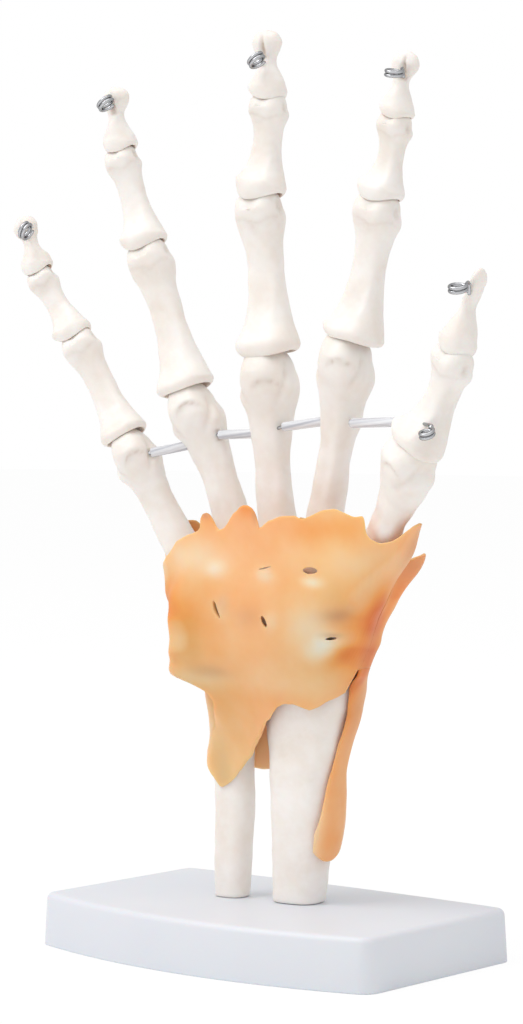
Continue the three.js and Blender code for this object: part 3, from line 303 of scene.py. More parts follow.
# Each ray's roll in degrees, its joints' centres, and each bone's half widths and half depths at its base,
# waist and head
RAYS = {
    "thumb": dict(
        roll=28,
        joints=[(36.5, -15.5, 105), (59, -23.5, 143.3), (73.6, -26, 169.6), (82.6, -28, 195)],
        metacarpal=[(7.2, 6.6), (5.4, 4.6), (8, 7)], proximal=[(8.3, 7), (5, 4.1), (6.6, 5)],
        distal=[(5.9, 4.9), (3, 2.6), (4, 2.4)]),
    "index": dict(
        roll=6,
        joints=[(15.5, -0.5, 110.6), (27.6, -2, 171.6), (36.6, -2, 212.7), (42.1, -2, 236.2),
                (46.8, -2, 256.8)],
        metacarpal=[(5.7, 7.4), (4.6, 4.5), (8.4, 8)], proximal=[(8.9, 7.6), (5, 4.1), (7.1, 5.4)],
        middle=[(6.9, 5.6), (3.8, 3.2), (5.2, 4.1)], distal=[(5.1, 4.3), (2.7, 2.3), (4, 2.4)]),
    "middle": dict(
        roll=0,
        joints=[(4, 0.2, 110.6), (0.1, 0, 167.9), (-3.7, 0, 214.6), (-0.6, 0, 243.8), (-1.3, 0, 266.2)],
        metacarpal=[(5.7, 7.6), (5, 4.7), (9, 8.3)], proximal=[(9.3, 7.9), (5.4, 4.4), (7.3, 5.6)],
        middle=[(7.5, 5.9), (4.3, 3.5), (5.7, 4.4)], distal=[(5.7, 4.6), (2.9, 2.5), (4.5, 2.6)]),
    "ring": dict(
        roll=-6,
        joints=[(-9, -0.4, 110.4), (-24.9, -3, 157.9), (-39.6, -3.6, 201.7), (-48.9, -4, 230.6),
                (-51, -4.2, 252.5)],
        metacarpal=[(5.5, 6.8), (4.7, 4.3), (8.1, 7.5)], proximal=[(8.4, 7.2), (4.8, 4), (6.7, 5.2)],
        middle=[(7, 5.5), (4, 3.3), (5.3, 4.2)], distal=[(5.1, 4.3), (2.7, 2.3), (4, 2.4)]),
    "little": dict(
        roll=-14,
        joints=[(-23.6, -2.8, 109.4), (-42.3, -8, 144.7), (-60.6, -9, 176.3), (-74.1, -9.6, 195.9),
                (-81.2, -10, 215)],
        metacarpal=[(5.4, 6), (4.4, 4), (7.3, 6.8)], proximal=[(7, 6), (4.1, 3.4), (5.6, 4.3)],
        middle=[(5.8, 4.6), (3.3, 2.8), (4.5, 3.5)], distal=[(4.6, 3.6), (2.4, 2.1), (3.6, 2.1)]),
}
# The hand's own frame, in which the rays' joints are given, is turned and shifted a little on the base
HAND_YAW, HAND_SHIFT = math.radians(8), (-1.5, 0.5, 0)
HAND_TURN = np.array([[math.cos(HAND_YAW), math.sin(HAND_YAW), 0],
                      [-math.sin(HAND_YAW), math.cos(HAND_YAW), 0], [0, 0, 1]])
BONE_POWER = 2.4
TURN = np.radians(np.arange(0, 360, 5.0))


def to_base(points):
    """Points of the hand's frame in the base's frame: turned by the hand's yaw, then shifted."""
    return np.asarray(points) @ HAND_TURN + HAND_SHIFT


def section(size, turn, power):
    """Rounded section: |x / half width|^power + |y / half depth|^power = 1, at each turn."""
    x, y = np.cos(turn), np.sin(turn)
    return np.stack([size[..., 0] * np.sign(x) * np.abs(x) ** (2 / power),
                     size[..., 1] * np.sign(y) * np.abs(y) ** (2 / power)], -1)


def lifted(flat, height):
    """Rings of points from outlines of x and y, each outline at its own height."""
    return np.concatenate([flat, np.broadcast_to(height[:, None, None], flat.shape[:2] + (1,))], -1)


def smooth_between(x, knots, values):
    """Cubic Hermite curve through the values at the knots. Each knot's slope comes from its neighbours."""
    knots, values = np.asarray(knots, float), np.asarray(values, float)
    slope = np.gradient(values, knots, axis=0)
    i = np.clip(np.searchsorted(knots, x, side="right") - 1, 0, len(knots) - 2)
    gap = (knots[i + 1] - knots[i])[:, None]
    t = ((x - knots[i]) / gap[:, 0])[:, None]
    return ((2 * t ** 3 - 3 * t ** 2 + 1) * values[i] + (t ** 3 - 2 * t ** 2 + t) * gap * slope[i]
            + (3 * t ** 2 - 2 * t ** 3) * values[i + 1] + (t ** 3 - t ** 2) * gap * slope[i + 1])


def head_radius(head, x, knuckle):
    """Radius of a joint head across its width. It is less by the fourth power of the place across, 30% less
    at a knuckle's sides and 12% at another head's, which also has a groove 8% deep down its middle."""
    side = (x / head[0]) ** 4
    if knuckle:
        return head[1] * (1 - 0.3 * side)
    return head[1] * (1 - 0.08 * np.exp(-(x / (0.3 * head[0])) ** 2) - 0.12 * side)


def cup_height(socket, x, y):
    """Height of a hollow base: the head's round plus the joint gap. The head's own frame is tilted, so the
    height is found in eight steps, each time by what it still lacks there."""
    z = np.full(np.shape(x), socket["head"][1], float)
    for _ in range(8):
        seen = np.stack([x, y, z], -1) @ socket["turn"].T
        across = np.clip(seen[..., 0], -socket["head"][0], socket["head"][0])
        radius = head_radius(socket["head"], across, socket["knuckle"]) + JOINT_GAP
        depth = np.minimum(np.abs(seen[..., 1]), LIP * radius)
        z = z + np.sqrt(radius * radius - depth * depth) - seen[..., 2]
    return z


def wander(points, size, seed):
    """Smooth unevenness, mostly between -1 and 1: seven sine waves about size mm long, in directions set by
    the seed, added and divided by 4."""
    rng = np.random.default_rng(seed)
    total = np.zeros(points.shape[:-1])
    for _ in range(7):
        way = rng.normal(size=3)
        way *= 2 * np.pi / (size * rng.uniform(0.7, 1.6) * np.linalg.norm(way))
        total += np.sin(points @ way + rng.uniform(0, 2 * np.pi))
    return total / 4


def outward(rings):
    """Unit normals of a grid of rings, from the differences along and round it."""
    along = np.gradient(rings, axis=0)
    round_it = np.roll(rings, -1, 1) - np.roll(rings, 1, 1)
    normal = np.cross(round_it, along)
    return normal / np.maximum(np.linalg.norm(normal, axis=-1, keepdims=True), 1e-9)


def bump_at(points, spot, reach):
    """Round swelling of height 1, which falls off as exp(-(distance / reach)^2)."""
    return np.exp(-((points - np.asarray(spot, float)) ** 2).sum(-1) / reach ** 2)


def fading(distance, reach, power=2):
    """Bell of height 1 over a distance, by its share of the reach: exp(-share^power)."""
    return np.exp(-(distance / reach) ** power)


# The rings of a hollow base, from its middle out to where its rim starts, as shares of the base's outline
CUP_SHARES = np.array([0.06, 0.16, 0.27, 0.38, 0.49, 0.59, 0.67, 0.74, 0.79, 0.83])
CUP_RINGS = len(CUP_SHARES)


def base_rings(bone, socket, palm_drop=0.0):
    """Rings of a bone's near end, from the middle of its hollow out over a quarter-round rim, and the height
    of its shaft's start. The rim's height keeps only its mean and first two waves round the bone, and it
    hangs a little over the head, by palm_drop mm more on the palm side."""
    edge = section(np.array(bone[0]), TURN, BONE_POWER)
    flat = CUP_SHARES[:, None, None] * edge
    cup = np.concatenate([flat, cup_height(socket, flat[..., 0], flat[..., 1])[..., None]], -1)
    waves = np.fft.rfft(cup[-1, :, 2])
    waves[3:] = 0
    cheek = CHEEK_SHARE * bone[0][0] * np.cos(TURN) ** 2 if socket["knuckle"] else 0
    even = np.fft.irfft(waves, len(TURN)) - cheek - RIM_DROP - palm_drop * np.clip(-np.sin(TURN), 0, 1)
    cup[..., 2] += (even - cup[-1, :, 2]) * np.clip((CUP_SHARES[:, None] - 0.45) / 0.38, 0, 1) ** 2
    start = cup[-1, :, 2].max() + RIM_SHARE * bone[0][0]
    bend = np.linspace(0, np.pi / 2, 7)[1:-1, None]
    rim_flat = edge * (CUP_SHARES[-1] + (1.02 - CUP_SHARES[-1]) * np.sin(bend))[..., None]
    rim_up = cup[-1, :, 2] + (1 - np.cos(bend)) * (start - cup[-1, :, 2])
    return np.concatenate([cup, np.concatenate([rim_flat, rim_up[..., None]], -1)]), start


def head_rings(bone, length, knuckle):
    """Rings of a bone's far end. The outline closes in as a cosine, and each point lies on the head's round,
    sqrt(radius^2 - y^2), brought down to nothing at the outline."""
    share = np.cos(np.linspace(0.06, 1.5, 22))[:, None, None]
    flat = share * section(np.array(bone[2]), TURN, BONE_POWER)
    radius = head_radius(bone[2], flat[..., 0], knuckle)
    lift = np.sqrt(np.maximum(radius * radius - flat[..., 1] ** 2, 0)) * (1 - share[..., 0] ** 7) ** (1 / 3.5)
    return np.concatenate([flat, (length + lift)[..., None]], -1)


# How a head narrows, by height over the joint's centre in head radii: a knuckle's, then any other's
NARROW_AT = [-2.4, -1.5, -0.75, -0.15, 0.25, 0.65, 1.0]
NARROW = [1.0, 0.86, 0.89, 0.82, 0.75, 0.65, 0.56]
NARROW_NEXT = [1.0, 1.0, 1.0, 0.97, 0.93, 0.89, 0.84]
# Each knuckle's share of that narrowing, the side it narrows towards in half widths, its shaft's sideways
# bow in mm and width against the loft's, how far the phalanx's rim on it slants, and its arch's depth
KNUCKLES = {
    "thumb": (0.25, 0, 0, 1.0, 0.2, 0.12), "index": (1, -0.6, -0.8, 1.06, 0.14, 0.02),
    "middle": (1, -0.35, -2.2, 1.07, 0, 0.27), "ring": (0.9, 0, 1.1, 1.14, 0, -0.1),
    "little": (0.9, 0, -0.7, 1.14, 0, 0.12),
}
# How far the phalanx's rim on the middle knuckle hangs on the palm side in mm, how far other rims slant, and
# how many rings of a head's crown keep little relief, and how many get painted shade over their yellower
# joint surface
MIDDLE_DROP, RIM_SLANT, CROWN_KEPT, CROWN_SHADED_AND_STAINED = 1.2, 0.12, 14, 10


def knuckle_relief(rings, head, length, deep):
    """Heights in mm over a knuckle: an arched ledge where the joint surface ends on the palm side,
    a hollow under it, and a crease on each side from the head's corner down to the tubercle. Also a line of
    painted shade along the ledge."""
    wide, thick = head
    x, y, z = np.moveaxis(rings, -1, 0)
    up = (z - length) / thick
    off = x / wide - 0.22
    window = fading(off, 0.42, 4) * np.clip(-y / (0.35 * thick), 0, 1)
    arch = thick * (up + deep + 1.2 * off ** 2)
    relief = 0.62 / (1 + np.exp(-arch / 0.17)) * np.exp(-np.maximum(arch, 0) / 2.4) * window
    relief -= 0.35 * fading(arch + 1.0, 1.2) * window
    corner = np.degrees(np.arctan2(y / thick, np.abs(x) / wide))
    crease = np.interp(up, [-1.3, -0.8, -0.2, 0.6], [-52, -40, -22, -6])
    relief -= 0.6 * fading(corner - crease, 9) * fading(up + 0.35, 0.75, 4)
    relief += 0.6 * fading(corner - crease - 26, 16) * fading(up + 0.7, 0.5)
    # The second value is a line of painted shade under the ledge's arch
    return relief, 0.6 * fading(arch + 0.2, 0.35) * window


def joint_step(rings, head, length):
    """Heights in mm where a phalanx's joint surface ends in a low step on its palm side, with a shallow
    hollow under it, and a line of painted shade along the step."""
    wide, thick = head
    x, y, z = np.moveaxis(rings, -1, 0)
    edge = length - thick * (0.42 + 0.3 * fading(x / wide - 0.25, 0.4))
    far_end = z > 0.6 * length
    step = 1 / (1 + np.exp(-(z - edge) / 0.25)) * (np.clip(-y / (0.4 * thick), 0, 1) * far_end)
    relief = 0.22 * step * np.exp(-np.maximum(z - edge, 0) / (0.8 * thick))
    relief -= 0.2 * bump_at(rings, (0, -0.75 * thick, length - 0.95 * thick), 0.45 * thick)
    # The second value is the line of painted shade along the step
    return relief, 0.2 * np.clip(1 - np.abs(z - edge) / 0.9, 0, 1) * (y < -0.2 * thick) * far_end


def bone_swell(rings, sizes, length, start, knuckle, seed):
    """Heights in mm all over a long bone: soft unevenness, and on each side a pit and two tubercles at the
    head, a tubercle at the base, and on a phalanx a ridge along the palm side for the tendon's sheath."""
    base, waist, (wide, thick) = sizes
    x, y, z = np.moveaxis(rings, -1, 0)
    swell = 0.16 * wander(rings, 9.0, seed) + 0.07 * wander(rings, 3.5, seed + 1)
    for side in (-1, 1):
        pit = (side * wide, 0.1 * thick, length + 0.1 * thick)
        swell -= (0.3 if knuckle else 0.75) * bump_at(rings, pit, 0.36 * thick)
        swell += 0.45 * bump_at(rings, (side * 0.85 * wide, 0.75 * thick, length - 0.35 * thick), 0.4 * thick)
        swell += 0.5 * bump_at(rings, (side * 0.7 * base[0], -0.8 * base[1], start + 1.6), 0.34 * base[1])
        ridge = fading(x - side * 0.78 * waist[0], 1.1) * fading(z / length - 0.42, 0.17)
        swell += 0.35 * ridge * (y < 0) * (not knuckle)
        swell += 0.4 * bump_at(rings, (side * 0.6 * wide, -0.95 * thick, length - 0.15 * thick), 0.4 * thick)
    return swell


def long_bone(bone, length, socket, seed, ray):
    """Rings of a metacarpal or a phalanx in its own frame, and the painted shade and stain at each point, 0
    to 1.
    Its section eases from the base's through the waist's to the head's. It is flatter on the palm side and
    bows to the back as half a sine wave. Then it is moved along its normals by its relief."""
    knuckle = socket is None
    share, lean, bow, stout, slant, deep = KNUCKLES[ray]
    base, waist, head = (np.array(size, float) for size in bone)
    if knuckle:
        flat = np.array([0.1, 0.4, 0.7, 0.85, 0.93, 0.975])[:, None, None] * section(base, TURN, BONE_POWER)
        foot, start = lifted(flat, np.array([0, 0, 0, 0, 0.12, 0.5])), 1.5
    else:
        foot, start = base_rings(bone, socket, MIDDLE_DROP if socket["knuckle"] and ray == "middle" else 0)
    near_head = (0.6, 1.05) if knuckle else (0.35, 0.95)
    mixes = [base, base + 0.45 * (waist - base), base + 0.9 * (waist - base), waist,
             waist + near_head[0] * (head - waist), waist + near_head[1] * (head - waist), head]
    at = np.linspace(0, 1, 58)
    size = smooth_between(at, [0, 0.14, 0.36, 0.6, 0.78, 0.9, 1], np.array(mixes))
    flat = section(size[:, None, :], np.broadcast_to(TURN, (len(at), len(TURN))), BONE_POWER)
    middle = np.clip(np.minimum(at, 1 - at) / 0.25, 0, 1)[:, None]
    flat[..., 1] *= np.where(flat[..., 1] < 0, 1 - 0.16 * middle, 1.0)
    flat[..., 1] += 0.35 * size[:, None, 1] * np.sin(np.pi * at)[:, None]
    if knuckle:
        widened = 1 + (stout - 1) * np.sin(np.pi * np.clip(at / 0.9, 0, 1))[:, None]
        flat[..., 0] = flat[..., 0] * widened + bow * np.sin(np.pi * at)[:, None]
    shaft = lifted(flat, start + at * (length - start))
    rings = np.concatenate([foot, shaft, head_rings(bone, length, knuckle)])
    z = rings[..., 2]
    if not knuckle:
        share, lean = 1, 0
    widths = NARROW if knuckle else NARROW_NEXT
    narrow = 1 - share * (1 - np.interp((z - length) / head[1], NARROW_AT, widths))
    rings[..., 0] = lean * head[0] + narrow * (rings[..., 0] - lean * head[0])
    if socket:
        over = np.clip(np.abs(rings[..., 0]) / base[0] / 0.5 - 0.6, 0, 1)
        over *= np.exp(-np.maximum(z - start, 0) / 5)
        rings[..., 2] -= (slant if socket["knuckle"] else RIM_SLANT) * rings[..., 0] * over
    swell = bone_swell(rings, (base, waist, head), length, start, knuckle, seed)
    if knuckle:
        relief, line = knuckle_relief(rings, head, length, deep)
        far_half = z > 0.5 * length
        ridge = fading(rings[..., 0] - 0.35 * waist[0], 1.3) * fading(z / length - 0.5, 0.22)
        swell += relief * far_half + 0.3 * ridge * (rings[..., 1] < 0)
        line = line * far_half
    else:
        relief, line = joint_step(rings, head, length)
        swell += relief
    keep = np.ones((len(rings), 1))
    keep[:CUP_RINGS] = 0.15
    keep[-CROWN_KEPT:] = 0.2
    # Painted shade: along the line from knuckle_relief and joint_step, in dents, in the hollow base, and on
    # the crown, which is also its own yellower joint surface
    hollow = line + (0.35 if knuckle else 0.7) * np.clip(-swell, 0, 1)
    hollow[:CUP_RINGS] += 0.8
    hollow[-CROWN_SHADED_AND_STAINED:] += 0.35
    return rings + outward(rings) * (swell * keep)[..., None], np.clip(hollow, 0, 1)


# Each fingertip's width and its tuft's against the loft's, and in mm to the thumb side how far its neck and
# its tuft lean and where the tuft's groove runs
TIPS = {"thumb": (0.9, 0.45, -0.2, 1.6, 0.96), "index": (1, 1.04, -1, -0.3, 0.64),
        "middle": (1, 1, 0, 0, -0.16), "ring": (1, 1, -0.9, -0.2, -0.64), "little": (1.03, 0.97, 0, 0, -0.16)}
# At shares of a fingertip's length, how far its width and depth go from the neck's towards the base's, or,
# with a minus sign, towards the tuft's
TIP_STOPS = {0: (1, 1), 0.17: (0.6, 0.65), 0.42: (0.02, 0), 0.54: (0.12, 0.08), 0.63: (-0.75, -0.6),
             0.76: (-1.15, -1.15)}
TUFT_START, NECK_SHARE, TIP_POWER = 0.76, 0.86, 2.1


def tip_bone(bone, length, socket, seed, ray):
    """Rings of a fingertip bone and the painted shade on them: a hollow base, a thin neck, and a knobbly tuft
    that closes as a quarter ellipse, with a groove down its palm side where the wire comes out."""
    wide, tuft, neck_lean, tuft_lean, groove_at = TIPS[ray]
    base, waist, head = (np.array(size, float) for size in bone)
    foot, start = base_rings(bone, socket)
    neck = NECK_SHARE * waist
    towards = np.array(list(TIP_STOPS.values()))
    sizes = neck + np.abs(towards) * (np.where(towards > 0, base, head) - neck)
    tuft_share = 1 - TUFT_START
    closing = TUFT_START + tuft_share * np.sin(np.linspace(0.08, 1.5, 22))
    at = np.concatenate([np.linspace(0, TUFT_START, 44), closing])
    size = smooth_between(np.minimum(at, TUFT_START), list(TIP_STOPS), sizes)
    size[:, 0] *= np.interp(at, [0.1, 0.4, 0.75], [1, 0.5 + 0.5 * tuft, tuft])
    close = np.sqrt(np.maximum(1 - (np.maximum(at - TUFT_START, 0) / tuft_share) ** 2, 0.0025))[:, None]
    flat = section((size * close)[:, None, :], np.broadcast_to(TURN, (len(at), len(TURN))), TIP_POWER)
    flat[..., 1] += 0.5 * np.sin(np.pi * at)[:, None]
    leans = [[0], [0.5 * neck_lean], [neck_lean], [tuft_lean], [1.25 * tuft_lean]]
    flat[..., 0] += smooth_between(at, [0, 0.25, 0.5, 0.85, 1], leans)
    rings = np.concatenate([foot, lifted(flat, start + at * (length - start))]) * [wide, 1, 1]
    rings[..., 2] -= RIM_SLANT * rings[..., 0] * np.exp(-np.maximum(rings[..., 2] - start, 0) / 4)
    x, y, z = np.moveaxis(rings, -1, 0)
    up = z / length
    notch = 0.45 + 1.1 * np.clip((0.86 - up) / 0.25, 0, 1)
    groove = tuft ** 4 * fading(x - groove_at, notch) * (y < 0)
    groove *= np.clip((up - 0.58) / 0.06, 0, 1) * np.clip((0.95 - up) / 0.14, 0, 1)
    swell = 0.1 * wander(rings, 5.0, seed) + 0.1 * wander(rings, 2.4, seed + 1) * (up > 0.7) - 0.9 * groove
    for side in (-1, 1):
        swell += 0.45 * bump_at(rings, (side * 0.9 * base[0], 0, start + 1.2), 1.6)
    swell[:CUP_RINGS] *= 0.15
    # Painted shade in the groove, in dents and in the hollow base
    hollow = 0.8 * groove ** 2 + 0.3 * np.clip(-swell, 0, 1)
    hollow[:CUP_RINGS] += 0.8
    return rings + outward(rings) * swell[..., None], np.clip(hollow, 0, 1)


def bone_axes(near, far, roll):
    """Axes of a bone as rows: x to the thumb side, y to the back of the hand, z along it."""
    along = (far - near) / np.linalg.norm(far - near)
    back = np.array([math.sin(math.radians(roll)), math.cos(math.radians(roll)), 0])
    across = np.cross(back, along)
    across /= np.linalg.norm(across)
    return np.stack([across, np.cross(along, across), along])


def set_value(piece, name, values):
    """Gives the points of a piece a float attribute, which its material reads."""
    layer = piece.data.attributes.new(name, "FLOAT", "POINT")
    layer.data.foreach_set("value", np.asarray(values, np.float32).ravel())


def skin_values(values):
    """Values of a grid in the order of skin_points: first ring's mean, all rings, last ring's mean."""
    return np.concatenate([[values[0].mean()], values.ravel(), [values[-1].mean()]])


# Filled PVC out of a mould: opaque, matt and a little waxy. It is painted darker and browner in hollows,
# creases and
# joints: partly its own yellower joint surfaces, partly painted shade. It is faintly mottled a centimetre
# across, which keeps a large face from looking like paper.
pvc_bone, tree, out = new_material("pvc_bone_casting")
place = add_node(tree, "ShaderNodeTexCoord")
mottle = add_node(tree, "ShaderNodeTexNoise", Vector=place.outputs["Object"], Scale=95.0, Detail=4.0,
                  Roughness=0.6)
patch = add_node(tree, "ShaderNodeMapRange", Value=mottle.outputs["Fac"], From_Min=0.38, From_Max=0.68)
pink = add_node(tree, "ShaderNodeMix", {"data_type": "RGBA"}, Factor=patch.outputs[0],
                _6=linear("#F7F2ED"), _7=linear("#F1E8DF"))
# Painted shade and stain: the bones' attribute mixes the colour towards brown in hollows, creases and joints
hollow = add_node(tree, "ShaderNodeAttribute", {"attribute_name": "hollow"})
speckle = add_node(tree, "ShaderNodeTexNoise", Vector=place.outputs["Object"], Scale=700.0, Detail=2.0)
shade_and_stain = add_node(tree, "ShaderNodeMath", {"operation": "MULTIPLY"},
                 _0=hollow.outputs["Fac"], _1=speckle.outputs["Fac"])
tint = add_node(tree, "ShaderNodeMix", {"data_type": "RGBA"}, Factor=shade_and_stain.outputs[0],
                _6=pink.outputs[2], _7=linear("#A98563"))
pit = add_node(tree, "ShaderNodeTexNoise", Vector=place.outputs["Object"], Scale=900.0, Detail=3.0)
bump = add_node(tree, "ShaderNodeBump", Height=pit.outputs["Fac"], Strength=0.12, Distance=0.0003)
wax = add_node(tree, "ShaderNodeBsdfPrincipled", Base_Color=tint.outputs[2], Roughness=0.5,
               Normal=bump.outputs[0], Subsurface_Weight=0.12, Subsurface_Scale=0.002)
tree.links.new(wax.outputs[0], out.inputs["Surface"])

KINDS = ["metacarpal", "proximal", "middle", "distal"]
bone_points, bone_pieces, frames = {}, {}, {}


def make_bone(name, rings, hollow, body, axes=np.eye(3), origin=(0, 0, 0)):
    """Bone from rings in its own frame, placed in the hand's frame by its axes and origin."""
    bone_points[name] = skin_points(rings) @ axes + origin
    piece = make_piece(f"bone_{name}", to_base(bone_points[name]), skin_faces(len(rings), len(TURN)),
                       pvc_bone, body, [name])
    set_value(piece, "hollow", skin_values(hollow))
    bone_pieces[name] = piece


for k, (ray, data) in enumerate(RAYS.items()):
    joints = [np.array(place, float) for place in data["joints"]]
    socket = None
    for i, kind in enumerate(kind for kind in KINDS if kind in data):
        name = f"{ray}_{kind}"
        body_name = "palm" if kind == "metacarpal" else name
        axes = bone_axes(joints[i], joints[i + 1], data["roll"])
        length = float(np.linalg.norm(joints[i + 1] - joints[i]))
        shape_bone = tip_bone if kind == "distal" else long_bone
        rings, hollow = shape_bone(data[kind], length, socket, 40 * k + 4 * i, ray)
        make_bone(name, rings, hollow, body_name, axes, joints[i])
        frames[name] = (axes, joints[i], length, socket, body_name)
        if kind != "distal":
            ahead = bone_axes(joints[i + 1], joints[i + 2], data["roll"])
            socket = {"head": data[kind][2], "knuckle": kind == "metacarpal", "turn": axes @ ahead.T}


# Forearm bones: the lower ends of the radius and the ulna, sawn flat where they stand on the base.
# Both widen to a hollow end that the wrist turns in. The radius carries most of the width.
WRIST, CONDYLE_RADIUS, KNEE, FOREARM_POWER = 93.0, 12.6, 42.0, 2.8
# Middle x, y and half width, half depth at the foot, the shaft and the head, how far the hollow end is set
# back from the condyle, and how late the shaft widens to the head
FOREARM = {
    "radius": dict(foot=(9.65, 0.5, 7.15, 6.3), shaft=(11.3, 0.5, 9.4, 7), head=(13.9, 0, 15, 9),
                   setback=0, flare=1.6),
    "ulna": dict(foot=(-12.2, -1, 4.9, 4.25), shaft=(-11.6, -0.5, 5.6, 4.85), head=(-11.2, 0, 7.5, 6.8),
                 setback=2.4, flare=6),
}


def condyle_radius(x):
    """Radius of the carpal condyle across the wrist: largest just to the thumb side of its middle, and less
    by the square of the distance from there."""
    return CONDYLE_RADIUS - 3.4 * ((x - 2) / 27) ** 2


def forearm_bone(foot, shaft, head, setback, flare, seed):
    """Rings of a forearm bone. Its section goes straight from foot to shaft, up to the knee, and then to the
    head by the flare's power of the height. It ends in a hollow, a round gap under the condyle."""
    foot, shaft, head = (np.array(sizes, float) for sizes in (foot, shaft, head))
    low, neck = BASE_HEIGHT + 0.15, WRIST - CONDYLE_RADIUS - setback - 3
    height = np.concatenate([[low, low + 0.25], np.linspace(low + 0.8, KNEE, 30),
                             np.linspace(KNEE, neck, 40)[1:]])
    to_shaft = np.clip((height - low) / (KNEE - low), 0, 1)[:, None]
    to_head = np.clip((height - KNEE) / (neck - KNEE), 0, 1)[:, None] ** flare
    size = foot + to_shaft * (shaft - foot) + to_head * (head - shaft)
    trim = np.ones((len(height), 1, 1))
    trim[:2, 0, 0] = [0.93, 0.99]
    turn = np.broadcast_to(TURN, (len(height), len(TURN)))
    flat = section(size[:, None, 2:] * trim, turn, FOREARM_POWER) + size[:, None, :2]
    share = np.array([0.995, 0.985, 0.97, 0.92, 0.82, 0.7, 0.56, 0.42, 0.28, 0.14])[:, None, None]
    cup = share * section(head[2:], TURN, FOREARM_POWER) + head[:2]
    radius = condyle_radius(cup[..., 0]) + JOINT_GAP + setback
    reach = np.minimum(np.abs(cup[..., 1]), LIP * radius)
    top = WRIST - np.sqrt(radius * radius - reach * reach)
    top[:2] = neck + (top[2] - neck) * np.array([[0.45], [0.8]])
    rings = np.concatenate([lifted(flat, height), np.concatenate([cup, top[..., None]], -1)])
    swell = 0.22 * wander(rings, 16.0, seed) + 0.08 * wander(rings, 5.0, seed + 1)
    # Painted shade in dents and over the hollow end
    hollow = np.clip(-swell, 0, 1) * 0.5
    hollow[-9:] = 0.5
    swell[-10:] *= 0.2
    swell[:2] = 0
    return rings + outward(rings) * swell[..., None], hollow


for k, (name, sizes) in enumerate(FOREARM.items()):
    rings, hollow = forearm_bone(seed=300 + 10 * k, **sizes)
    make_bone(name, rings, hollow, "forearm")


# Carpal bones: eight pebble-like castings of the same PVC, packed together at the wrist.
# Each is round where it is free and flattened half a gap short of the plane to each neighbour.
CARPAL_GAP = 0.5
# Middle, reach along x, y and z, and its share of the way to a neighbour
CARPALS = {
    "scaphoid": ((17.5, -1.5, 88.5), (11.5, 9, 9.5), 1.1),
    "lunate": ((2.5, 0, 87.5), (8.5, 9.5, 9.5), 1),
    "triquetrum": ((-14.5, 1.5, 90), (10.5, 8, 8), 1.1),
    "pisiform": ((-18.6, -10.6, 92), (5.2, 5.2, 6.6), 0.8),
    "trapezium": ((28.5, -9, 98.5), (9.5, 8.5, 9), 1),
    "trapezoid": ((16.5, 1.5, 103), (8, 9, 8.5), 0.9),
    "capitate": ((4, 0.5, 101.5), (8.2, 9, 11), 1),
    "hamate": ((-11, 0, 102), (12, 9.5, 9), 1.2),
}


def carpal_rings(name):
    """Rings of a carpal: in each direction the reach is a soft least of the bone's own reach, the planes to
    its neighbours and to the metacarpal bases, and the condyle's round. A soft least is the sum of the
    reaches' -6th powers, to the power -1/6."""
    middle, reach, share = CARPALS[name]
    middle = np.array(middle, float)
    tilt = np.radians(np.linspace(-87, 87, 34))[:, None]
    way = np.stack([np.cos(tilt) * np.cos(TURN), np.cos(tilt) * np.sin(TURN), np.sin(tilt) + 0 * TURN], -1)
    limit = (np.abs(way / np.array(reach, float)) ** 6).sum(-1)
    planes = []
    for other, (place, _, part) in CARPALS.items():
        if other != name:
            away = np.array(place) - middle
            far = np.linalg.norm(away)
            planes.append((away / far, far * share / (share + part) - CARPAL_GAP / 2))
    for data in RAYS.values():
        near, far = np.array(data["joints"][0], float), np.array(data["joints"][1], float)
        along = (far - near) / np.linalg.norm(far - near)
        planes.append((along, (near - middle) @ along - CARPAL_GAP))
    for normal, distance in planes:
        limit += np.maximum(way @ normal / distance, 0) ** 6
    # Where each direction meets the condyle's round, which itself depends on x there
    y, z = middle[1], middle[2] - WRIST
    square = way[..., 1] ** 2 + way[..., 2] ** 2
    half = y * way[..., 1] + z * way[..., 2]
    out = np.full(way.shape[:2], CONDYLE_RADIUS)
    for _ in range(6):
        rest = y * y + z * z - condyle_radius(middle[0] + out * way[..., 0]) ** 2
        root = np.sqrt(np.maximum(half * half - square * rest, 0))
        out = np.where(rest < 0, (root - half) / np.maximum(square, 1e-6), 1e3)
    limit += np.where(way[..., 2] < 0, out, 1e3) ** -6.0
    rings = middle + way * (limit ** (-1 / 6))[..., None]
    return rings - way * (0.12 + 0.12 * wander(rings, 6.0, int(abs(middle[0]) * 10)))[..., None]


for name in CARPALS:
    rings = carpal_rings(name)
    make_bone(name, rings, np.full(rings.shape[:2], 0.15), "palm")


# Wires: 1 mm spring steel, one through each ray, showing in the joint gaps.
# Each comes out of the palm side of the fingertip and ends in two turns of coil that keep the bones on it.
WIRE, WIRE_SIDES, COIL_SIDES, EXIT_GAP = 0.5, 14, 20, 0.3
# Each length stands this far out into the joint gap, and starts this far up in a metacarpal
WIRE_PAST, WIRE_FOOT = 0.33, 3.0
# A coil's radius and pitch in mm, its turns and where they start, how far it stands off the bone in mm, and
# how high its start lies over the wire's exit in mm
COIL_RADIUS, COIL_PITCH, COIL_TURNS, COIL_START, STANDOFF, LIFT = 2.3, 1.12, 2, math.radians(25), 1.5, -0.35
# Where each wire comes out of the fingertip (mm aside, mm on to the coil's middle, share of the length),
# and how the coil hangs: degrees down to the little finger's side, and its top forward
COILS = {"thumb": (2, 1.4, 0.83, 0, 20), "index": (1.4, 0.2, 0.75, -4, 14),
         "middle": (-0.4, 1.4, 0.64, 32, 2), "ring": (-1, 1, 0.81, 30, 2), "little": (0.4, 1.9, 0.76, 40, 0)}


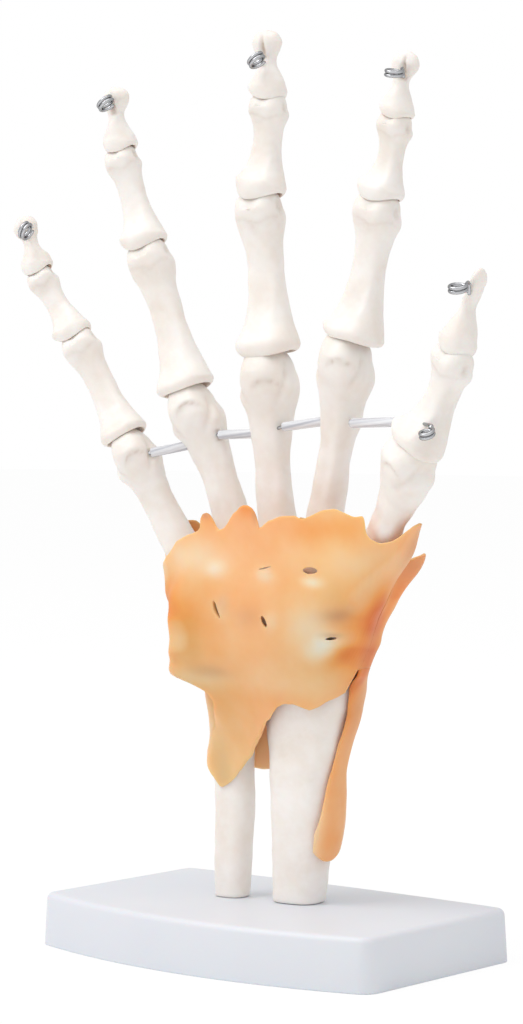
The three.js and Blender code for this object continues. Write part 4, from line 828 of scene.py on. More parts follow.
def rounded(path, step):
    """Path through the same points with its corners eased as a Catmull-Rom curve, in even steps."""
    path = np.asarray(path, float)
    full = np.concatenate([[2 * path[0] - path[1]], path, [2 * path[-1] - path[-2]]])
    t = np.linspace(0, 1, 8, endpoint=False)[:, None]
    p0, p1, p2, p3 = (full[i:len(full) - 3 + i, None] for i in range(4))
    curve = 0.5 * (2 * p1 + (p2 - p0) * t + (2 * p0 - 5 * p1 + 4 * p2 - p3) * t ** 2
                   + (3 * p1 - p0 - 3 * p2 + p3) * t ** 3)
    curve = np.concatenate([curve.reshape(-1, 3), path[-1:]])
    far = np.concatenate([[0], np.cumsum(np.linalg.norm(np.diff(curve, axis=0), axis=1))])
    even = np.linspace(0, far[-1], max(int(far[-1] / step), 3))
    return np.stack([np.interp(even, far, curve[:, k]) for k in range(3)], -1)


def carried(path, radii, sides):
    """Rings of a round section carried along a path. Its side is turned with the path from point to point."""
    along = np.gradient(path, axis=0)
    along /= np.linalg.norm(along, axis=1, keepdims=True)
    side = np.cross([0, 0, 1.0], along[0])
    if np.linalg.norm(side) < 0.2:
        side = np.array([1.0, 0, 0])
    across = []
    for way in along:
        side = side - way * (side @ way)
        side = side / np.linalg.norm(side)
        across.append(side)
    up = np.cross(along, across)
    turn = np.linspace(0, 2 * np.pi, sides, endpoint=False)[:, None]
    radius = np.broadcast_to(radii, len(path))[:, None, None]
    return path[:, None] + radius * (np.cos(turn) * np.array(across)[:, None] + np.sin(turn) * up[:, None])


def wire_points(path, sides=WIRE_SIDES):
    """Points and faces of a wire with slightly rounded ends."""
    radii = np.full(len(path), WIRE)
    radii[[0, -1]] = 0.8 * WIRE
    rings = carried(path, radii, sides)
    return skin_points(rings), skin_faces(len(rings), sides)


def together(parts):
    """Several closed bodies as one list of points and one list of faces."""
    points, faces, shift = [], [], 0
    for some, own in parts:
        points.append(some)
        faces += [[i + shift for i in face] for face in own]
        shift += len(some)
    return np.concatenate(points), faces


def coil(middle, start, radius, askew=0, nod=0):
    """Two turns of a helix about the bone's length, going down. The whole coil is then turned about its
    middle, askew degrees sideways and nod degrees forward."""
    turn = np.linspace(0, COIL_TURNS * 2 * np.pi, 97)
    drop = np.array([0, 0, COIL_PITCH])
    helix = np.stack([radius * np.sin(start + turn), radius * np.cos(start + turn),
                      -COIL_PITCH * turn / (2 * np.pi)], -1) + drop
    aside, ahead = math.radians(askew), math.radians(nod)
    sideways = np.array([[math.cos(aside), 0, math.sin(aside)], [0, 1, 0],
                         [-math.sin(aside), 0, math.cos(aside)]])
    forward = np.array([[1, 0, 0], [0, math.cos(ahead), math.sin(ahead)],
                        [0, -math.sin(ahead), math.cos(ahead)]])
    return middle - drop + helix @ forward @ sideways


for name, (axes, origin, length, socket, body_name) in frames.items():
    ray, kind = name.split("_")
    head = RAYS[ray][kind][2]
    low = float(cup_height(socket, 0.0, 0.0)) - WIRE_PAST if socket else WIRE_FOOT
    if kind == "distal":
        side, shift, up, askew, nod = COILS[ray]
        way_out = np.array([side, -head[1] - WIRE - EXIT_GAP, up * length])
        middle = way_out + [shift, -COIL_RADIUS - STANDOFF, LIFT]
        route = [way_out * [0.86, 0.55, 0.86], way_out, *coil(middle, COIL_START, COIL_RADIUS, askew, nod)]
        stub = [(0, 0, low), (0, 0, low + 1.5), (0, 0, low + 3)]
        coiled = wire_points(rounded(route, 0.28), COIL_SIDES)
        points, faces = together([coiled, wire_points(rounded(stub, 0.5))])
    else:
        crown = length + head[1] * (1 if kind == "metacarpal" else 0.92) + WIRE_PAST
        points, faces = wire_points(rounded([(0, 0, low), (0, 0, (low + crown) / 2), (0, 0, crown)], 1.0))
    make_piece(f"finger_wire_{name}", to_base(points @ axes + origin), faces, steel, body_name,
               [f"wire_{name}"])


# Tie wire: one more 1 mm wire across the hand, through the four metacarpal heads to the thumb.
# Clear PVC tubes, 2.7 mm across, keep the bones apart on it.
TIE_END = (-40.2, -9.6, 143.2)
SPACERS = {
    "little_ring": [(-35.5, -8.8, 144.5), (-22.2, -1.4, 147.5)],
    "ring_middle": [(-15.2, -3.7, 149.8), (-2.2, 1.0, 150.2)],
    "middle_index": [(6.0, -2.5, 152.1), (23.4, 0, 154.4)],
    "index_thumb": [(31.2, -6.4, 153.2), (56.6, -20.5, 153.6)],
}
TUBE_RADIUS, TUBE_BORE, TUBE_SIDES, TIE_DEPTH = 1.35, 0.8, 28, 2.2
# The tie wire's exit from the thumb's proximal phalanx in that bone's frame, and its coil
TIE_EXIT, TIE_COIL_RADIUS, TIE_COIL_LEAN = (6.5, -3.5, 14), 1.8, math.radians(53)
TIE_COIL_ASKEW, TIE_COIL_NOD = 12, 30

# Plasticised PVC tube, drawn and clear: glossy and a little hazy. Painted grey and white streaks along its
# wall stand in for what the clear wall reflects and shows through.
clear_pvc, tree, out = new_material("clear_pvc_tube")
place = add_node(tree, "ShaderNodeTexCoord")
haze = add_node(tree, "ShaderNodeTexNoise", Vector=place.outputs["Object"], Scale=400.0, Detail=2.0)
rough = add_node(tree, "ShaderNodeMapRange", Value=haze.outputs["Fac"], To_Min=0.1, To_Max=0.22)
painted_streak = add_node(tree, "ShaderNodeAttribute", {"attribute_name": "painted_streak"})
wall = add_node(tree, "ShaderNodeMix", {"data_type": "RGBA"}, Factor=painted_streak.outputs["Fac"],
                _6=linear("#FBFCFF"), _7=linear("#C0C2CC"))
tube = add_node(tree, "ShaderNodeBsdfPrincipled", Base_Color=wall.outputs[2], Roughness=rough.outputs[0],
                Transmission_Weight=0.15, IOR=1.4)
tree.links.new(tube.outputs[0], out.inputs["Surface"])

# Inside each bone the wire runs deeper than the line between the two tubes it joins
tube_ends = np.array(list(SPACERS.values()))
inside_bones = (tube_ends[:-1, 1] + tube_ends[1:, 0]) / 2 + [0, TIE_DEPTH, 0]
palm_route = [TIE_END]
for (near, far), deep_spot in zip(tube_ends, inside_bones):
    palm_route += [near, far, deep_spot]
palm_route.append(tube_ends[-1, 0])
points, faces = wire_points(rounded(palm_route, 0.8))
make_piece("tie_wire_palm_run", to_base(points), faces, steel, "palm", ["tie_wire_palm"])

axes, origin = frames["thumb_proximal"][:2]
outward_way = np.array([math.sin(TIE_COIL_LEAN), -math.cos(TIE_COIL_LEAN), 0])
way_out = TIE_EXIT + outward_way * (EXIT_GAP + WIRE)
middle = way_out + outward_way * (TIE_COIL_RADIUS + STANDOFF) + [0, 0, LIFT]
tie_coil = coil(middle, COIL_START - TIE_COIL_LEAN, TIE_COIL_RADIUS, TIE_COIL_ASKEW, TIE_COIL_NOD)
split, tube_end = (np.array(place, float) for place in SPACERS["index_thumb"])
thumb_route = [split + (tube_end - split) * share for share in (0.012, 0.5, 1)]
thumb_route += [way_out @ axes + origin, *(tie_coil @ axes + origin)]
points, faces = wire_points(rounded(thumb_route, 0.3), COIL_SIDES)
tie_thumb = make_piece("tie_wire_thumb_run", to_base(points), faces, steel, None, ["tie_wire_thumb"])
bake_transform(tie_thumb)


def shade_ring_at_tube(bone, near, aim):
    """Darkens a metacarpal in a ring round a tube's near end, painted shade where the tube goes into it: a
    bell across the ring's radius times a bell along the tube."""
    points = bone_points[bone] - near
    along = points @ aim
    aside = np.linalg.norm(points - along[:, None] * aim, axis=1)
    # Painted shade round the tube's end
    rim = 0.9 * fading(aside - TUBE_RADIUS + 0.1, 0.5) * fading(along, 1.1)
    layer = bone_pieces[bone].data.attributes["hollow"].data
    shade_and_stain = np.empty(len(layer), np.float32)
    layer.foreach_get("value", shade_and_stain)
    layer.foreach_set("value", np.maximum(shade_and_stain, rim).astype(np.float32))


METACARPALS = [f"{ray}_metacarpal" for ray in ("index", "middle", "ring", "little")]
for k, (name, (near, far)) in enumerate(SPACERS.items()):
    near, far = np.array(near), np.array(far)
    run = near + np.linspace(0, 1, 40)[:, None] * (far - near)
    radii = np.full(len(run), TUBE_RADIUS)
    radii[[0, -1]] = TUBE_RADIUS - 0.1
    rings = np.concatenate([carried(run, radii, TUBE_SIDES), carried(run, TUBE_BORE, TUBE_SIDES)[::-1]])
    body_name = None if name == "index_thumb" else "palm"
    faces = bored_faces(len(rings), TUBE_SIDES)
    piece = make_piece(f"clear_tube_{name}", to_base(rings.reshape(-1, 3)), faces, clear_pvc, body_name,
                       [f"spacer_{name}"])
    # Painted reflections: grey and white streaks round the wall, twisting a little along the tube
    turn = np.radians(360 / TUBE_SIDES * np.arange(TUBE_SIDES)) + 0.03 * np.arange(len(rings))[:, None]
    painted_streaks = 0.3 + 0.35 * np.sin(3 * turn + 2 * k) + 0.3 * np.sin(7 * turn + k)
    set_value(piece, "painted_streak", np.clip(painted_streaks, 0, 1))
    for bone in METACARPALS:
        shade_ring_at_tube(bone, near, (far - near) / np.linalg.norm(far - near))
    if body_name is None:
        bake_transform(piece)


# Ligaments: sheets of soft orange elastomer, moulded 1.2 mm thick and pulled over the bones of the wrist.
# The palmar and the dorsal sheet meet on both sides of the hand, and a narrow strip runs down the radius.
# A place on them is a turn in degrees round an upright axis in the hand and a height in mm. Turns run from 0
# at the thumb side to 90 at the back of the hand, and from 0 to -90 at the palm.
SHEET_AXIS = np.array([4.0, -3.0])
SHEET_GAP, SHEET_THICKNESS, SHEET_RIM = 0.3, 1.2, 0.6
WRAP_HEIGHTS = np.arange(22.0, 137.0)
WRAP_COUNT = 240
WRAP_TURN = np.linspace(0, 2 * np.pi, WRAP_COUNT, endpoint=False)
# Where a sheet stands off, or lies closer with a minus sign: mm out, turn, spread in degrees, height, and
# rise in mm
STAND_OFFS = [(2.4, -166, 22, 101, 8), (4.2, -176, 24, 78.5, 5.5), (2, -162, 18, 81.5, 3.5),
              (0.7, -176, 10, 56, 5), (1.5, -90, 12, 130, 4), (-0.9, -156, 14, 91, 6),
              (-1.2, -172, 9, 113, 5), (0.8, -165, 20, 103.5, 3), (-0.7, -162, 20, 97, 2.8),
              (0.4, -158, 20, 88, 3), (-2, 24, 24, 93, 4.5), (0.9, 16, 20, 101, 4)]
# Below the free corner the sheet tucks in to the ulna: for each height, the turn past which it lies close
TUCK_HEIGHTS = [50, 58, 63.5, 67.5, 71, 73, 75, 76, 77.5, 79, 80, 81, 82, 83.5]
TUCK_TURNS = [-175, -174, -169, -163.5, -155, -151, -150, -150.3, -152, -155, -158.5, -161.5, -173, -200]
# Each sheet's turns from end to end, the heights between which each end is square against the other sheet,
# its own stand-offs, and the turns and heights of its lower and its upper edge
PALMAR = dict(
    span=(-179.97, -12.03), butts=((81, 110), (84, 110)), tabs=[(3.2, -14, 7, 117, 6), (2.1, -13, 8, 125, 6)],
    low=[(-180, 58), (-177, 55), (-176, 54.5), (-172, 50.5), (-169.5, 47.3), (-167, 49), (-161, 52.4),
         (-149.5, 56), (-133, 60), (-113, 62.8), (-94, 66), (-84, 67.5), (-70, 69), (-64, 70.5), (-57, 72.5),
         (-46, 73.5), (-38, 73.5), (-31.5, 72.5), (-26.5, 72), (-23, 73.2), (-20, 75), (-16, 76),
         (-12, 77.5)],
    high=[(-180, 110), (-172, 113), (-166.5, 116), (-161.5, 119), (-154.5, 121), (-147.5, 122.6),
          (-145, 123.6), (-143.5, 126), (-140.5, 127.3), (-137.5, 127.6), (-135.5, 127), (-134, 125.6),
          (-132.8, 124),
          (-130.5, 122.9), (-127, 122.8), (-122, 123.2), (-118, 124.3), (-112, 126.3), (-106, 127.7),
          (-99, 128.7), (-94, 129.5), (-88, 129.9), (-84, 129.9), (-80.5, 129.3), (-78, 128), (-76.3, 125.9),
          (-75.2, 123.6), (-72, 124), (-65, 126), (-56, 127.1), (-47, 127.5), (-43.5, 126.4), (-40.5, 127.4),
          (-37.3, 129), (-34.3, 129.6), (-32, 128.5), (-30.4, 127.6), (-28.6, 128.2), (-28.3, 126.4),
          (-28, 124.4), (-26.8, 122), (-24.6, 120.5), (-22.6, 121), (-21.4, 122), (-20.2, 123.8),
          (-18.6, 125.5), (-16.8, 126.2), (-14, 126), (-12.6, 124.6), (-12, 122)])
DORSAL = dict(
    span=(-12.0, 180.0), butts=((84, 108), (81, 113)), tabs=[(15.4, -1, 6.6, 117, 12.5)],
    low=[(-12, 84), (36, 84), (46, 79), (60, 76), (90, 72), (104, 66), (111, 58), (117, 53), (128, 52),
         (150, 52.5), (156, 60), (163, 71), (172, 78), (180, 81)],
    high=[(-12, 110), (-8, 113.5), (-4, 116.3), (-1, 117.2), (2, 115.5), (6, 109), (12, 108), (22, 113),
          (36, 124), (50, 121), (66, 125), (84, 126), (98, 121), (112, 125), (126, 120), (140, 124),
          (154, 117), (165.5, 120), (169.5, 124.8), (173, 124.5), (176.5, 118), (180, 113)])
# The strip's middle, as height and turn, and its half width in mm by height
STRIP_MIDDLE = [(28, 5.5), (35, 8), (41, 9.5), (48, 9.5), (53, 8), (57, 8), (64.5, 10), (71, 9.8), (79, 6.5),
                (85, 4), (92, 2)]
STRIP_HALF = [(28, 2.6), (31, 5), (36, 6), (41, 5.6), (48, 4.7), (54, 3.4), (58, 3.4), (65, 4.3), (72, 4.6),
              (79, 6), (85, 7.5), (92, 8)]
STRIP_LOW, STRIP_HIGH, STRIP_ROUND = 28, 92, 2.4
# Openings through the palmar sheet: turn, height, half width and half height in mm, lean in degrees
OPENINGS = [(-128, 100, 0.75, 2.7, 24), (-70, 97.3, 0.7, 1.7, 26), (-39, 112.2, 1.35, 0.95, -6),
            (-30.4, 93.4, 1, 0.45, 12), (-69, 112.4, 2, 0.18, 14)]
# Where a bone pushes the sheet out beside an opening, and where the sheet dips into one: turn, height, half
# width, half height, mm out
LIPS = [(-132.5, 111.5, 2.4, 2.2, 0.6), (-69, 111, 2.2, 1.8, 0.6), (-122, 101, 2, 2.8, 0.5),
        (-65, 97, 1.8, 2.8, 0.6), (-31, 90, 3, 3.6, 0.4), (-39.2, 110.5, 2.6, 2.8, -1.1)]


def hull_at(points, height):
    """Taut skin round the points near one height: for each way, how far the points reach along it, then for
    each turn the nearest of the tangents at those reaches. Points over 2.5 mm off in height count less."""
    near = points[np.abs(points[:, 2] - height) < 8]
    if not len(near):
        return np.zeros(WRAP_COUNT)
    far = np.maximum(np.abs(near[:, 2] - height) - 2.5, 0) / 2.5
    ways = np.stack([np.cos(WRAP_TURN), np.sin(WRAP_TURN)])
    support = ((near[:, :2] - SHEET_AXIS) @ ways - (far * far)[:, None]).max(0)
    lean = np.cos(WRAP_TURN[:, None] - WRAP_TURN)
    return np.where(lean > 0.17, support / np.maximum(lean, 0.17), 1e3).min(1)


def profile_of(points):
    """Distance from the sheet axis out to the bones, by height and turn, and 0 where there is no bone. Each
    cell takes the most of its own points and its neighbours'."""
    flat = points[:, :2] - SHEET_AXIS
    inside = (points[:, 2] > WRAP_HEIGHTS[0]) & (points[:, 2] < WRAP_HEIGHTS[-1])
    flat, up = flat[inside], points[inside, 2]
    row = np.rint(up - WRAP_HEIGHTS[0]).astype(int)
    column = np.rint(np.arctan2(flat[:, 1], flat[:, 0]) / (2 * np.pi) * WRAP_COUNT).astype(int) % WRAP_COUNT
    grid = np.zeros((len(WRAP_HEIGHTS), WRAP_COUNT))
    np.maximum.at(grid, (row, column), np.hypot(flat[:, 0], flat[:, 1]))
    for axis in (0, 1):
        grid = np.maximum(grid, np.maximum(np.roll(grid, 1, axis), np.roll(grid, -1, axis)))
    return grid


def blurred(grid, times):
    """Grid evened by height and by turn, with weights 1, 2, 1 each time."""
    for _ in range(times):
        tall = np.concatenate([grid[:1], grid, grid[-1:]])
        grid = (tall[:-2] + 2 * grid + tall[2:]) / 4
        grid = (np.roll(grid, 1, 1) + 2 * grid + np.roll(grid, -1, 1)) / 4
    return grid


def sampled(grid, degrees, height):
    """Value of a wrap grid at a turn in degrees and a height, linear between its rows and turns."""
    row = np.clip(height - WRAP_HEIGHTS[0], 0, len(WRAP_HEIGHTS) - 1.001)
    column = (degrees / 360 * WRAP_COUNT) % WRAP_COUNT
    low, near = row.astype(int), column.astype(int) % WRAP_COUNT
    up, on, after = row - low, column - np.floor(column), (near + 1) % WRAP_COUNT
    below = (1 - on) * grid[low, near] + on * grid[low, after]
    above = (1 - on) * grid[low + 1, near] + on * grid[low + 1, after]
    return (1 - up) * below + up * above


# The taut skin is bridged from each height to those above and below it, so that it spans the hollows. The
# drape is that skin, drawn in by up to 1.4 mm between the bones, evened, and brought back out over them.
wrapped = np.concatenate([bone_points[name] for name in ["radius", "ulna", *CARPALS, "thumb_metacarpal",
                                                         *METACARPALS]])
bones = blurred(profile_of(wrapped), 2)
close_bones = blurred(bones, 3)
soft_bones = blurred(bones, 8)
taut = np.array([hull_at(wrapped, height) for height in WRAP_HEIGHTS])
for step in (10, 8, 6, 4, 3, 2, 1):
    bridge = np.maximum(taut, (np.roll(taut, -step, 0) + np.roll(taut, step, 0)) / 2)
    taut[step:-step] = bridge[step:-step]
drape = blurred(taut - 0.35 * np.clip(taut - bones, 0, 4), 6)
for _ in range(6):
    drape = blurred(np.maximum(drape, bones), 1)


def spot_value(degrees, height, spots):
    """Sum of soft spots, each of turn, height, half width, half height and strength: strength times
    exp(-(across / half width)^2 - (up / half height)^2), in mm on the drape."""
    total = np.zeros(np.shape(degrees))
    arc = np.radians(1) * sampled(drape, degrees, height)
    for turn, up, wide, tall, strength in spots:
        turned = (degrees - turn + 180) % 360 - 180
        total += strength * np.exp(-(turned * arc / wide) ** 2 - ((height - up) / tall) ** 2)
    return total


def skin_radius(degrees, height, tabs=()):
    """Distance to the inner side of a sheet: the drape, its gap, soft unevenness, a bell for each stand-off,
    and where it tucks in a smooth step down to the bones. That is kept outside the bones, and the lips are
    added."""
    radius = sampled(drape, degrees, height) + SHEET_GAP
    place = np.stack([0.4 * degrees, height, 0 * height], -1)
    radius = radius + 0.18 * (1 + wander(place, 15.0, 7)) + 0.05 * (1 + wander(place, 5.0, 8))
    for far, turn, spread, up, rise in [*STAND_OFFS, *tabs]:
        turned = (degrees - turn + 180) % 360 - 180
        radius = radius + far * np.exp(-(turned / spread) ** 2 - ((height - up) / rise) ** 2)
    close = sampled(close_bones, degrees, height) + SHEET_GAP
    turned = (degrees - 90) % 360 - 270
    tuck = np.clip((np.interp(height, TUCK_HEIGHTS, TUCK_TURNS) - turned) / 7, 0, 1)
    tuck *= np.clip((turned + 215) / 20, 0, 1)
    tuck = tuck * tuck * (3 - 2 * tuck) * (height < TUCK_HEIGHTS[-1])
    radius = radius - tuck * np.maximum(radius - close, 0)
    return np.maximum(radius, close - 0.2) + spot_value(degrees, height, LIPS)


def edge_at(table, degrees, seed):
    """Edge height at a turn: straight between the table's points, the mean over half a degree to each side,
    and two sine waves of 0.15 and 0.1 mm."""
    at, height = np.array(table, float).T
    mean = sum(np.interp(degrees + step, at, height) for step in (-0.5, -0.25, 0, 0.25, 0.5)) / 5
    return mean + 0.15 * np.sin(degrees * 0.15 + seed) + 0.1 * np.sin(degrees * 0.37 + 2 * seed)


def rim_share(distance):
    """Share of the full thickness near a rim, a half circle in section."""
    return np.sqrt(np.maximum(1 - (1 - np.clip(distance / SHEET_RIM, 0, 1)) ** 2, 0.002))


def sheet_faces(columns, rows):
    """Faces of a closed slab of two grids, outer first, with a ring of faces round its rim."""
    own = np.arange(columns * rows).reshape(columns, rows)
    outer = np.stack([own[:-1, :-1], own[1:, :-1], own[1:, 1:], own[:-1, 1:]], -1).reshape(-1, 4)
    inner = outer[:, ::-1] + columns * rows
    rim = np.concatenate([own[:, 0], own[-1, 1:], own[-2::-1, -1], own[0, -2:0:-1]])
    after = np.roll(rim, -1)
    side = np.stack([after, rim, rim + columns * rows, after + columns * rows], -1)
    return np.concatenate([outer, inner, side]).tolist()


# Soft translucent elastomer, moulded: light goes in and comes out warmer. It is pale where it lies on a bone,
# orange where it spans a hollow, deepest on the thumb side, and mixed towards tan in a few spots
elastomer, tree, out = new_material("orange_elastomer")
tone = add_node(tree, "ShaderNodeAttribute", {"attribute_name": "tone"})
tan = add_node(tree, "ShaderNodeAttribute", {"attribute_name": "tan"})
place = add_node(tree, "ShaderNodeTexCoord")
cloud = add_node(tree, "ShaderNodeTexNoise", Vector=place.outputs["Object"], Scale=75.0, Detail=3.0)
drift = add_node(tree, "ShaderNodeMath", {"operation": "MULTIPLY_ADD"},
                 _0=cloud.outputs["Fac"], _1=0.3, _2=-0.15)
level = add_node(tree, "ShaderNodeMath", {"operation": "ADD"}, _0=tone.outputs["Fac"], _1=drift.outputs[0])
ramp = add_node(tree, "ShaderNodeValToRGB", Fac=level.outputs[0])
TONE_STOPS = [(0, "#F6E7DF"), (0.22, "#FDD9BA"), (0.5, "#FFC08B"), (0.75, "#F99E50"), (1, "#E36E1A")]
while len(ramp.color_ramp.elements) < len(TONE_STOPS):
    ramp.color_ramp.elements.new(0.5)
for stop, (spot, code) in zip(ramp.color_ramp.elements, TONE_STOPS):
    stop.position = spot
    stop.color = linear(code)
tan_mixed = add_node(tree, "ShaderNodeMix", {"data_type": "RGBA"}, Factor=tan.outputs["Fac"],
                   _6=ramp.outputs[0], _7=linear("#B4845E"))
fine = add_node(tree, "ShaderNodeTexNoise", Vector=place.outputs["Object"], Scale=600.0, Detail=2.0)
bump = add_node(tree, "ShaderNodeBump", Height=fine.outputs["Fac"], Strength=0.1, Distance=0.0003)
skin = add_node(tree, "ShaderNodeBsdfPrincipled", Base_Color=tan_mixed.outputs[2], Roughness=0.42,
                Normal=bump.outputs[0], Subsurface_Weight=0.5, Subsurface_Radius=(1.0, 0.45, 0.2),
                Subsurface_Scale=0.004)
tree.links.new(skin.outputs[0], out.inputs["Surface"])

# Spots on the sheets: turn, height, half width and half height in mm, strength. Pale ones lie on bones, deep
# ones span hollows or are thick, and the back's lower edge is paler.
PALE_SPOTS = [(-132.5, 111.5, 2.8, 2.4, 0.3), (-69, 110.5, 2.4, 2.0, 0.25), (-32, 89.6, 2.8, 3.6, 0.62),
              (-38.6, 109, 1.6, 1.5, 0.4), (-148, 80, 5, 2.5, 0.12), (-30, 115, 6, 4.5, 0.1),
              (-64, 97, 2, 3, 0.2), (-122, 101, 2, 3, 0.15), (-153, 115, 8, 5, 0.25), (-39, 97, 4, 6, 0.2),
              (-45, 79, 9, 4, 0.12)]
DEEP_SPOTS = [(-86, 130, 5, 4, 0.14), (-34, 124, 6, 4, 0.15), (-28, 88.5, 4, 3.5, 0.3),
              (-165, 96, 8, 11, 0.24), (-18, 104, 5, 7, 0.4), (140, 60, 30, 14, -0.25),
              (-160, 60, 12, 11, 0.2), (-120, 74, 20, 6, 0.1)]
TAN_SPOTS = [(-31, 100, 2.6, 2.4, 0.6), (-140, 82, 3.2, 2, 0.4), (-89, 98.5, 4.5, 3.4, 0.25),
             (-122, 102, 2.2, 2.6, 0.3), (-30.5, 94.3, 1.6, 0.8, 0.5), (-139, 127.5, 3, 1.6, 0.7),
             (-77, 127.5, 1, 2.4, 0.5), (-16, 119, 3, 7, 0.5), (-4, 113, 4, 8, 0.5), (8, 72, 8, 10, 0.28),
             (171, 123, 6, 4, 0.8)]


def sheet_tone(degrees, height):
    """Tone from 0, pale on a bone, to 1, deep orange. It rises with the gap to the bone, in bells over the
    thumb side and the little finger's side, along the strip, and by the spots."""
    gap = sampled(drape, degrees, height) - sampled(soft_bones, degrees, height)
    tone = 0.31 + 0.25 * np.clip(gap / 3.0, 0, 1)
    tone += 0.5 * fading(degrees + 8, 16) * fading(height - 94, 12)
    tone += 0.22 * fading(np.abs(degrees) - 168, 20) * fading(height - 96, 10)
    tone += 0.3 * np.clip((88 - height) / 8, 0, 1) * fading(degrees - 8, 18, 6)
    tone += spot_value(degrees, height, DEEP_SPOTS) - spot_value(degrees, height, PALE_SPOTS)
    return np.clip(tone, 0.04, 1)


def colour_sheet(piece):
    """Writes the tone and the tan of each point of a sheet from its turn and height in the hand's frame."""
    spots = np.empty(len(piece.data.vertices) * 3, np.float32)
    piece.data.vertices.foreach_get("co", spots)
    spots = (spots.reshape(-1, 3) * 1000 - HAND_SHIFT) @ HAND_TURN.T
    degrees = np.degrees(np.arctan2(spots[:, 1] - SHEET_AXIS[1], spots[:, 0] - SHEET_AXIS[0]))
    set_value(piece, "tone", sheet_tone(degrees, spots[:, 2]))
    set_value(piece, "tan", np.clip(spot_value(degrees, spots[:, 2], TAN_SPOTS), 0, 1))


def sheet_points(degrees, height, distance, inner):
    """Outer and inner points of a sheet from the turn, height, distance to the rim and inner radius at each.
    The half thickness goes down to nearly nothing at the rim."""
    turn = np.radians(degrees)
    middle = inner + SHEET_THICKNESS / 2
    half = rim_share(distance) * SHEET_THICKNESS / 2
    grids = []
    for radius in (middle + half, middle - half):
        x, y = SHEET_AXIS[0] + radius * np.cos(turn), SHEET_AXIS[1] + radius * np.sin(turn)
        grids.append(np.stack([x, y, height], -1).reshape(-1, 3))
    return np.concatenate(grids)


# Size of a sheet's grid: the band in degrees at each end where columns lie close, how many more columns the
# thumb side gets, round which turn and how far, how many columns and rows lie between the bands, the radius
# in mm at which a degree is measured, and how far in from a rim the close rows lie in mm, and the close
# columns in bands
END_BAND, CROWDED, CROWDED_AT, CROWDED_SPREAD, COLUMNS, ROWS = 2.4, 2.5, -26, 12, 330, 100
MM_PER_DEGREE = math.pi / 180 * 25
CLOSE = np.array([0, 0.05, 0.17, 0.35, 0.6])


def sheet_grid(span, butts, tabs, low, high, seed):
    """Points of a sheet between its low and high edge, with rows and columns close together at the rims, and
    columns close together on the thumb side. An end is square between the two heights of its butt joint."""
    even = np.linspace(span[0] + END_BAND, span[1] - END_BAND, 2000)
    filled = np.cumsum(1 + CROWDED * fading(even - CROWDED_AT, CROWDED_SPREAD))
    columns = np.interp(np.linspace(filled[0], filled[-1], COLUMNS), filled, even)
    degrees = np.concatenate([span[0] + END_BAND * CLOSE, columns, span[1] - END_BAND * CLOSE[::-1]])
    bottom, top = edge_at(low, degrees, seed), edge_at(high, degrees, seed + 1)
    between = bottom[:, None] + 1 + np.linspace(0, 1, ROWS) * (top - bottom - 2)[:, None]
    height = np.concatenate([bottom[:, None] + CLOSE, between, top[:, None] - CLOSE[::-1]], 1)
    arc = np.gradient(degrees) * MM_PER_DEGREE
    under = (height - bottom[:, None]) / np.sqrt(1 + (np.gradient(bottom) / arc) ** 2)[:, None]
    over = (top[:, None] - height) / np.sqrt(1 + (np.gradient(top) / arc) ** 2)[:, None]
    distance = np.minimum(under, over)
    for end, (down, up) in zip((degrees - span[0], span[1] - degrees), butts):
        butt = np.clip((height - down) / 2, 0, 1) * np.clip((up - height) / 2, 0, 1)
        distance = np.minimum(distance, end[:, None] * MM_PER_DEGREE + 2 * butt)
    degrees = np.repeat(degrees[:, None], height.shape[1], 1)
    return sheet_points(degrees, height, distance, skin_radius(degrees, height, tabs)), height.shape


OVAL_SIDES = 40


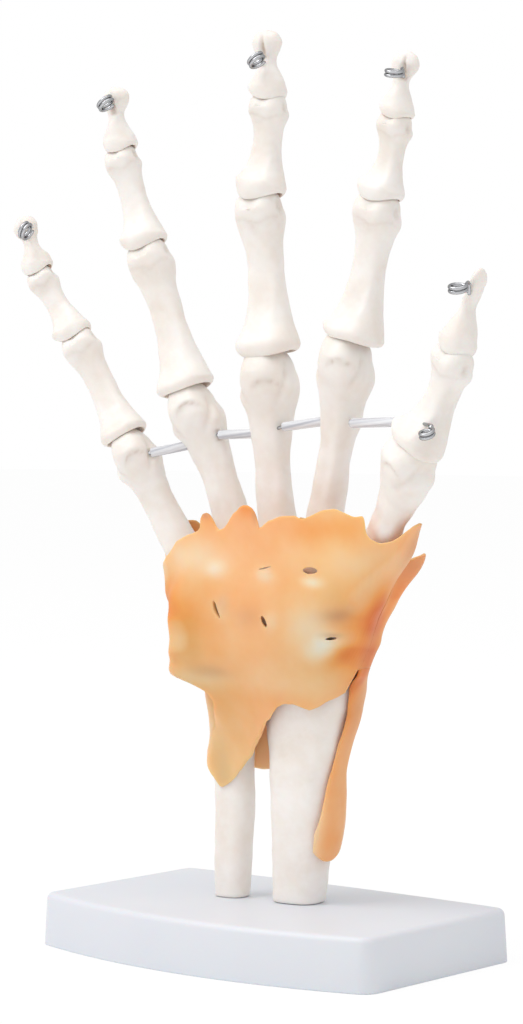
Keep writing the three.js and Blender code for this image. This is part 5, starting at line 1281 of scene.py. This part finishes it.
def cut_openings(piece):
    """Cuts the openings: each is an ellipse across the way out, turned by its lean and carried through."""
    tools = []
    upright = np.array([0, 0, 1.0])
    oval = np.linspace(0, 2 * np.pi, OVAL_SIDES, endpoint=False)[:, None]
    for k, (turn, up, wide, tall, lean) in enumerate(OPENINGS):
        radius = float(skin_radius(np.array([float(turn)]), np.array([float(up)]))[0])
        way_out = np.array([math.cos(math.radians(turn)), math.sin(math.radians(turn)), 0])
        aside = np.array([-way_out[1], way_out[0], 0])
        along, on = math.cos(math.radians(lean)), math.sin(math.radians(lean))
        ring = wide * np.cos(oval) * (along * aside + on * upright)
        ring = ring + tall * np.sin(oval) * (along * upright - on * aside)
        middle = np.array([*SHEET_AXIS, up]) + radius * way_out
        rings = [middle + ring + way_out * reach for reach in (-4, 6)]
        tools.append(make_piece(f"opening_{k}", to_base(skin_points(rings)), skin_faces(2, OVAL_SIDES),
                                elastomer, None))
        hole = piece.modifiers.new("opening", "BOOLEAN")
        hole.operation = "DIFFERENCE"
        hole.solver = "EXACT"
        hole.object = tools[-1]
    bpy.context.view_layer.update()
    cut = bpy.data.meshes.new_from_object(piece.evaluated_get(bpy.context.evaluated_depsgraph_get()))
    piece.modifiers.clear()
    piece.data = cut
    for tool in tools:
        bpy.data.objects.remove(tool)


def make_ligament(name, node, points, shape):
    """Sheet or strip in place of its CAD node, coloured."""
    piece = make_piece(name, to_base(points), sheet_faces(*shape), elastomer, None, [node])
    if name == "palmar_sheet":
        cut_openings(piece)
    colour_sheet(piece)
    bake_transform(piece)


make_ligament("palmar_sheet", "ligament_palmar", *sheet_grid(seed=0.4, **PALMAR))
make_ligament("dorsal_sheet", "ligament_dorsal", *sheet_grid(seed=1.9, **DORSAL))

# The strip has a rounded foot. It hangs a little off the radius lower down, comes out flush with the sheets,
# and ends under them.
foot = STRIP_LOW + STRIP_ROUND * (1 - np.cos(np.linspace(0, np.pi / 2, 12)))
up = np.concatenate([foot, np.linspace(STRIP_LOW + 3, STRIP_HIGH, 130)])
half = np.interp(up, *np.array(STRIP_HALF, float).T)
half[:12] *= np.sin(np.linspace(0.02, np.pi / 2, 12)) ** 0.8
across = np.sin(np.linspace(-np.pi / 2, np.pi / 2, 31))
middle = np.interp(up, *np.array(STRIP_MIDDLE, float).T)
degrees = middle[:, None] + np.degrees(half / sampled(drape, middle, up))[:, None] * across
up = np.repeat(up[:, None], len(across), 1)
distance = np.minimum(half[:, None] * (1 - np.abs(across)), up - STRIP_LOW + 0.01)
hang = sampled(close_bones, degrees, up) + SHEET_GAP + 1.4 * fading(up - 38, 13) + 0.7 * fading(up - 68, 6)
flush = np.clip((up - 73) / 9, 0, 1)
sunk = 1.35 * np.clip((up - 84) / 3, 0, 1)
inner = hang + flush * (skin_radius(degrees, up) + 0.05 - hang) - sunk
points = sheet_points(degrees[:, ::-1], up, distance[:, ::-1], inner[:, ::-1])
make_ligament("radial_strip", "ligament_radial_strip", points, up.shape)
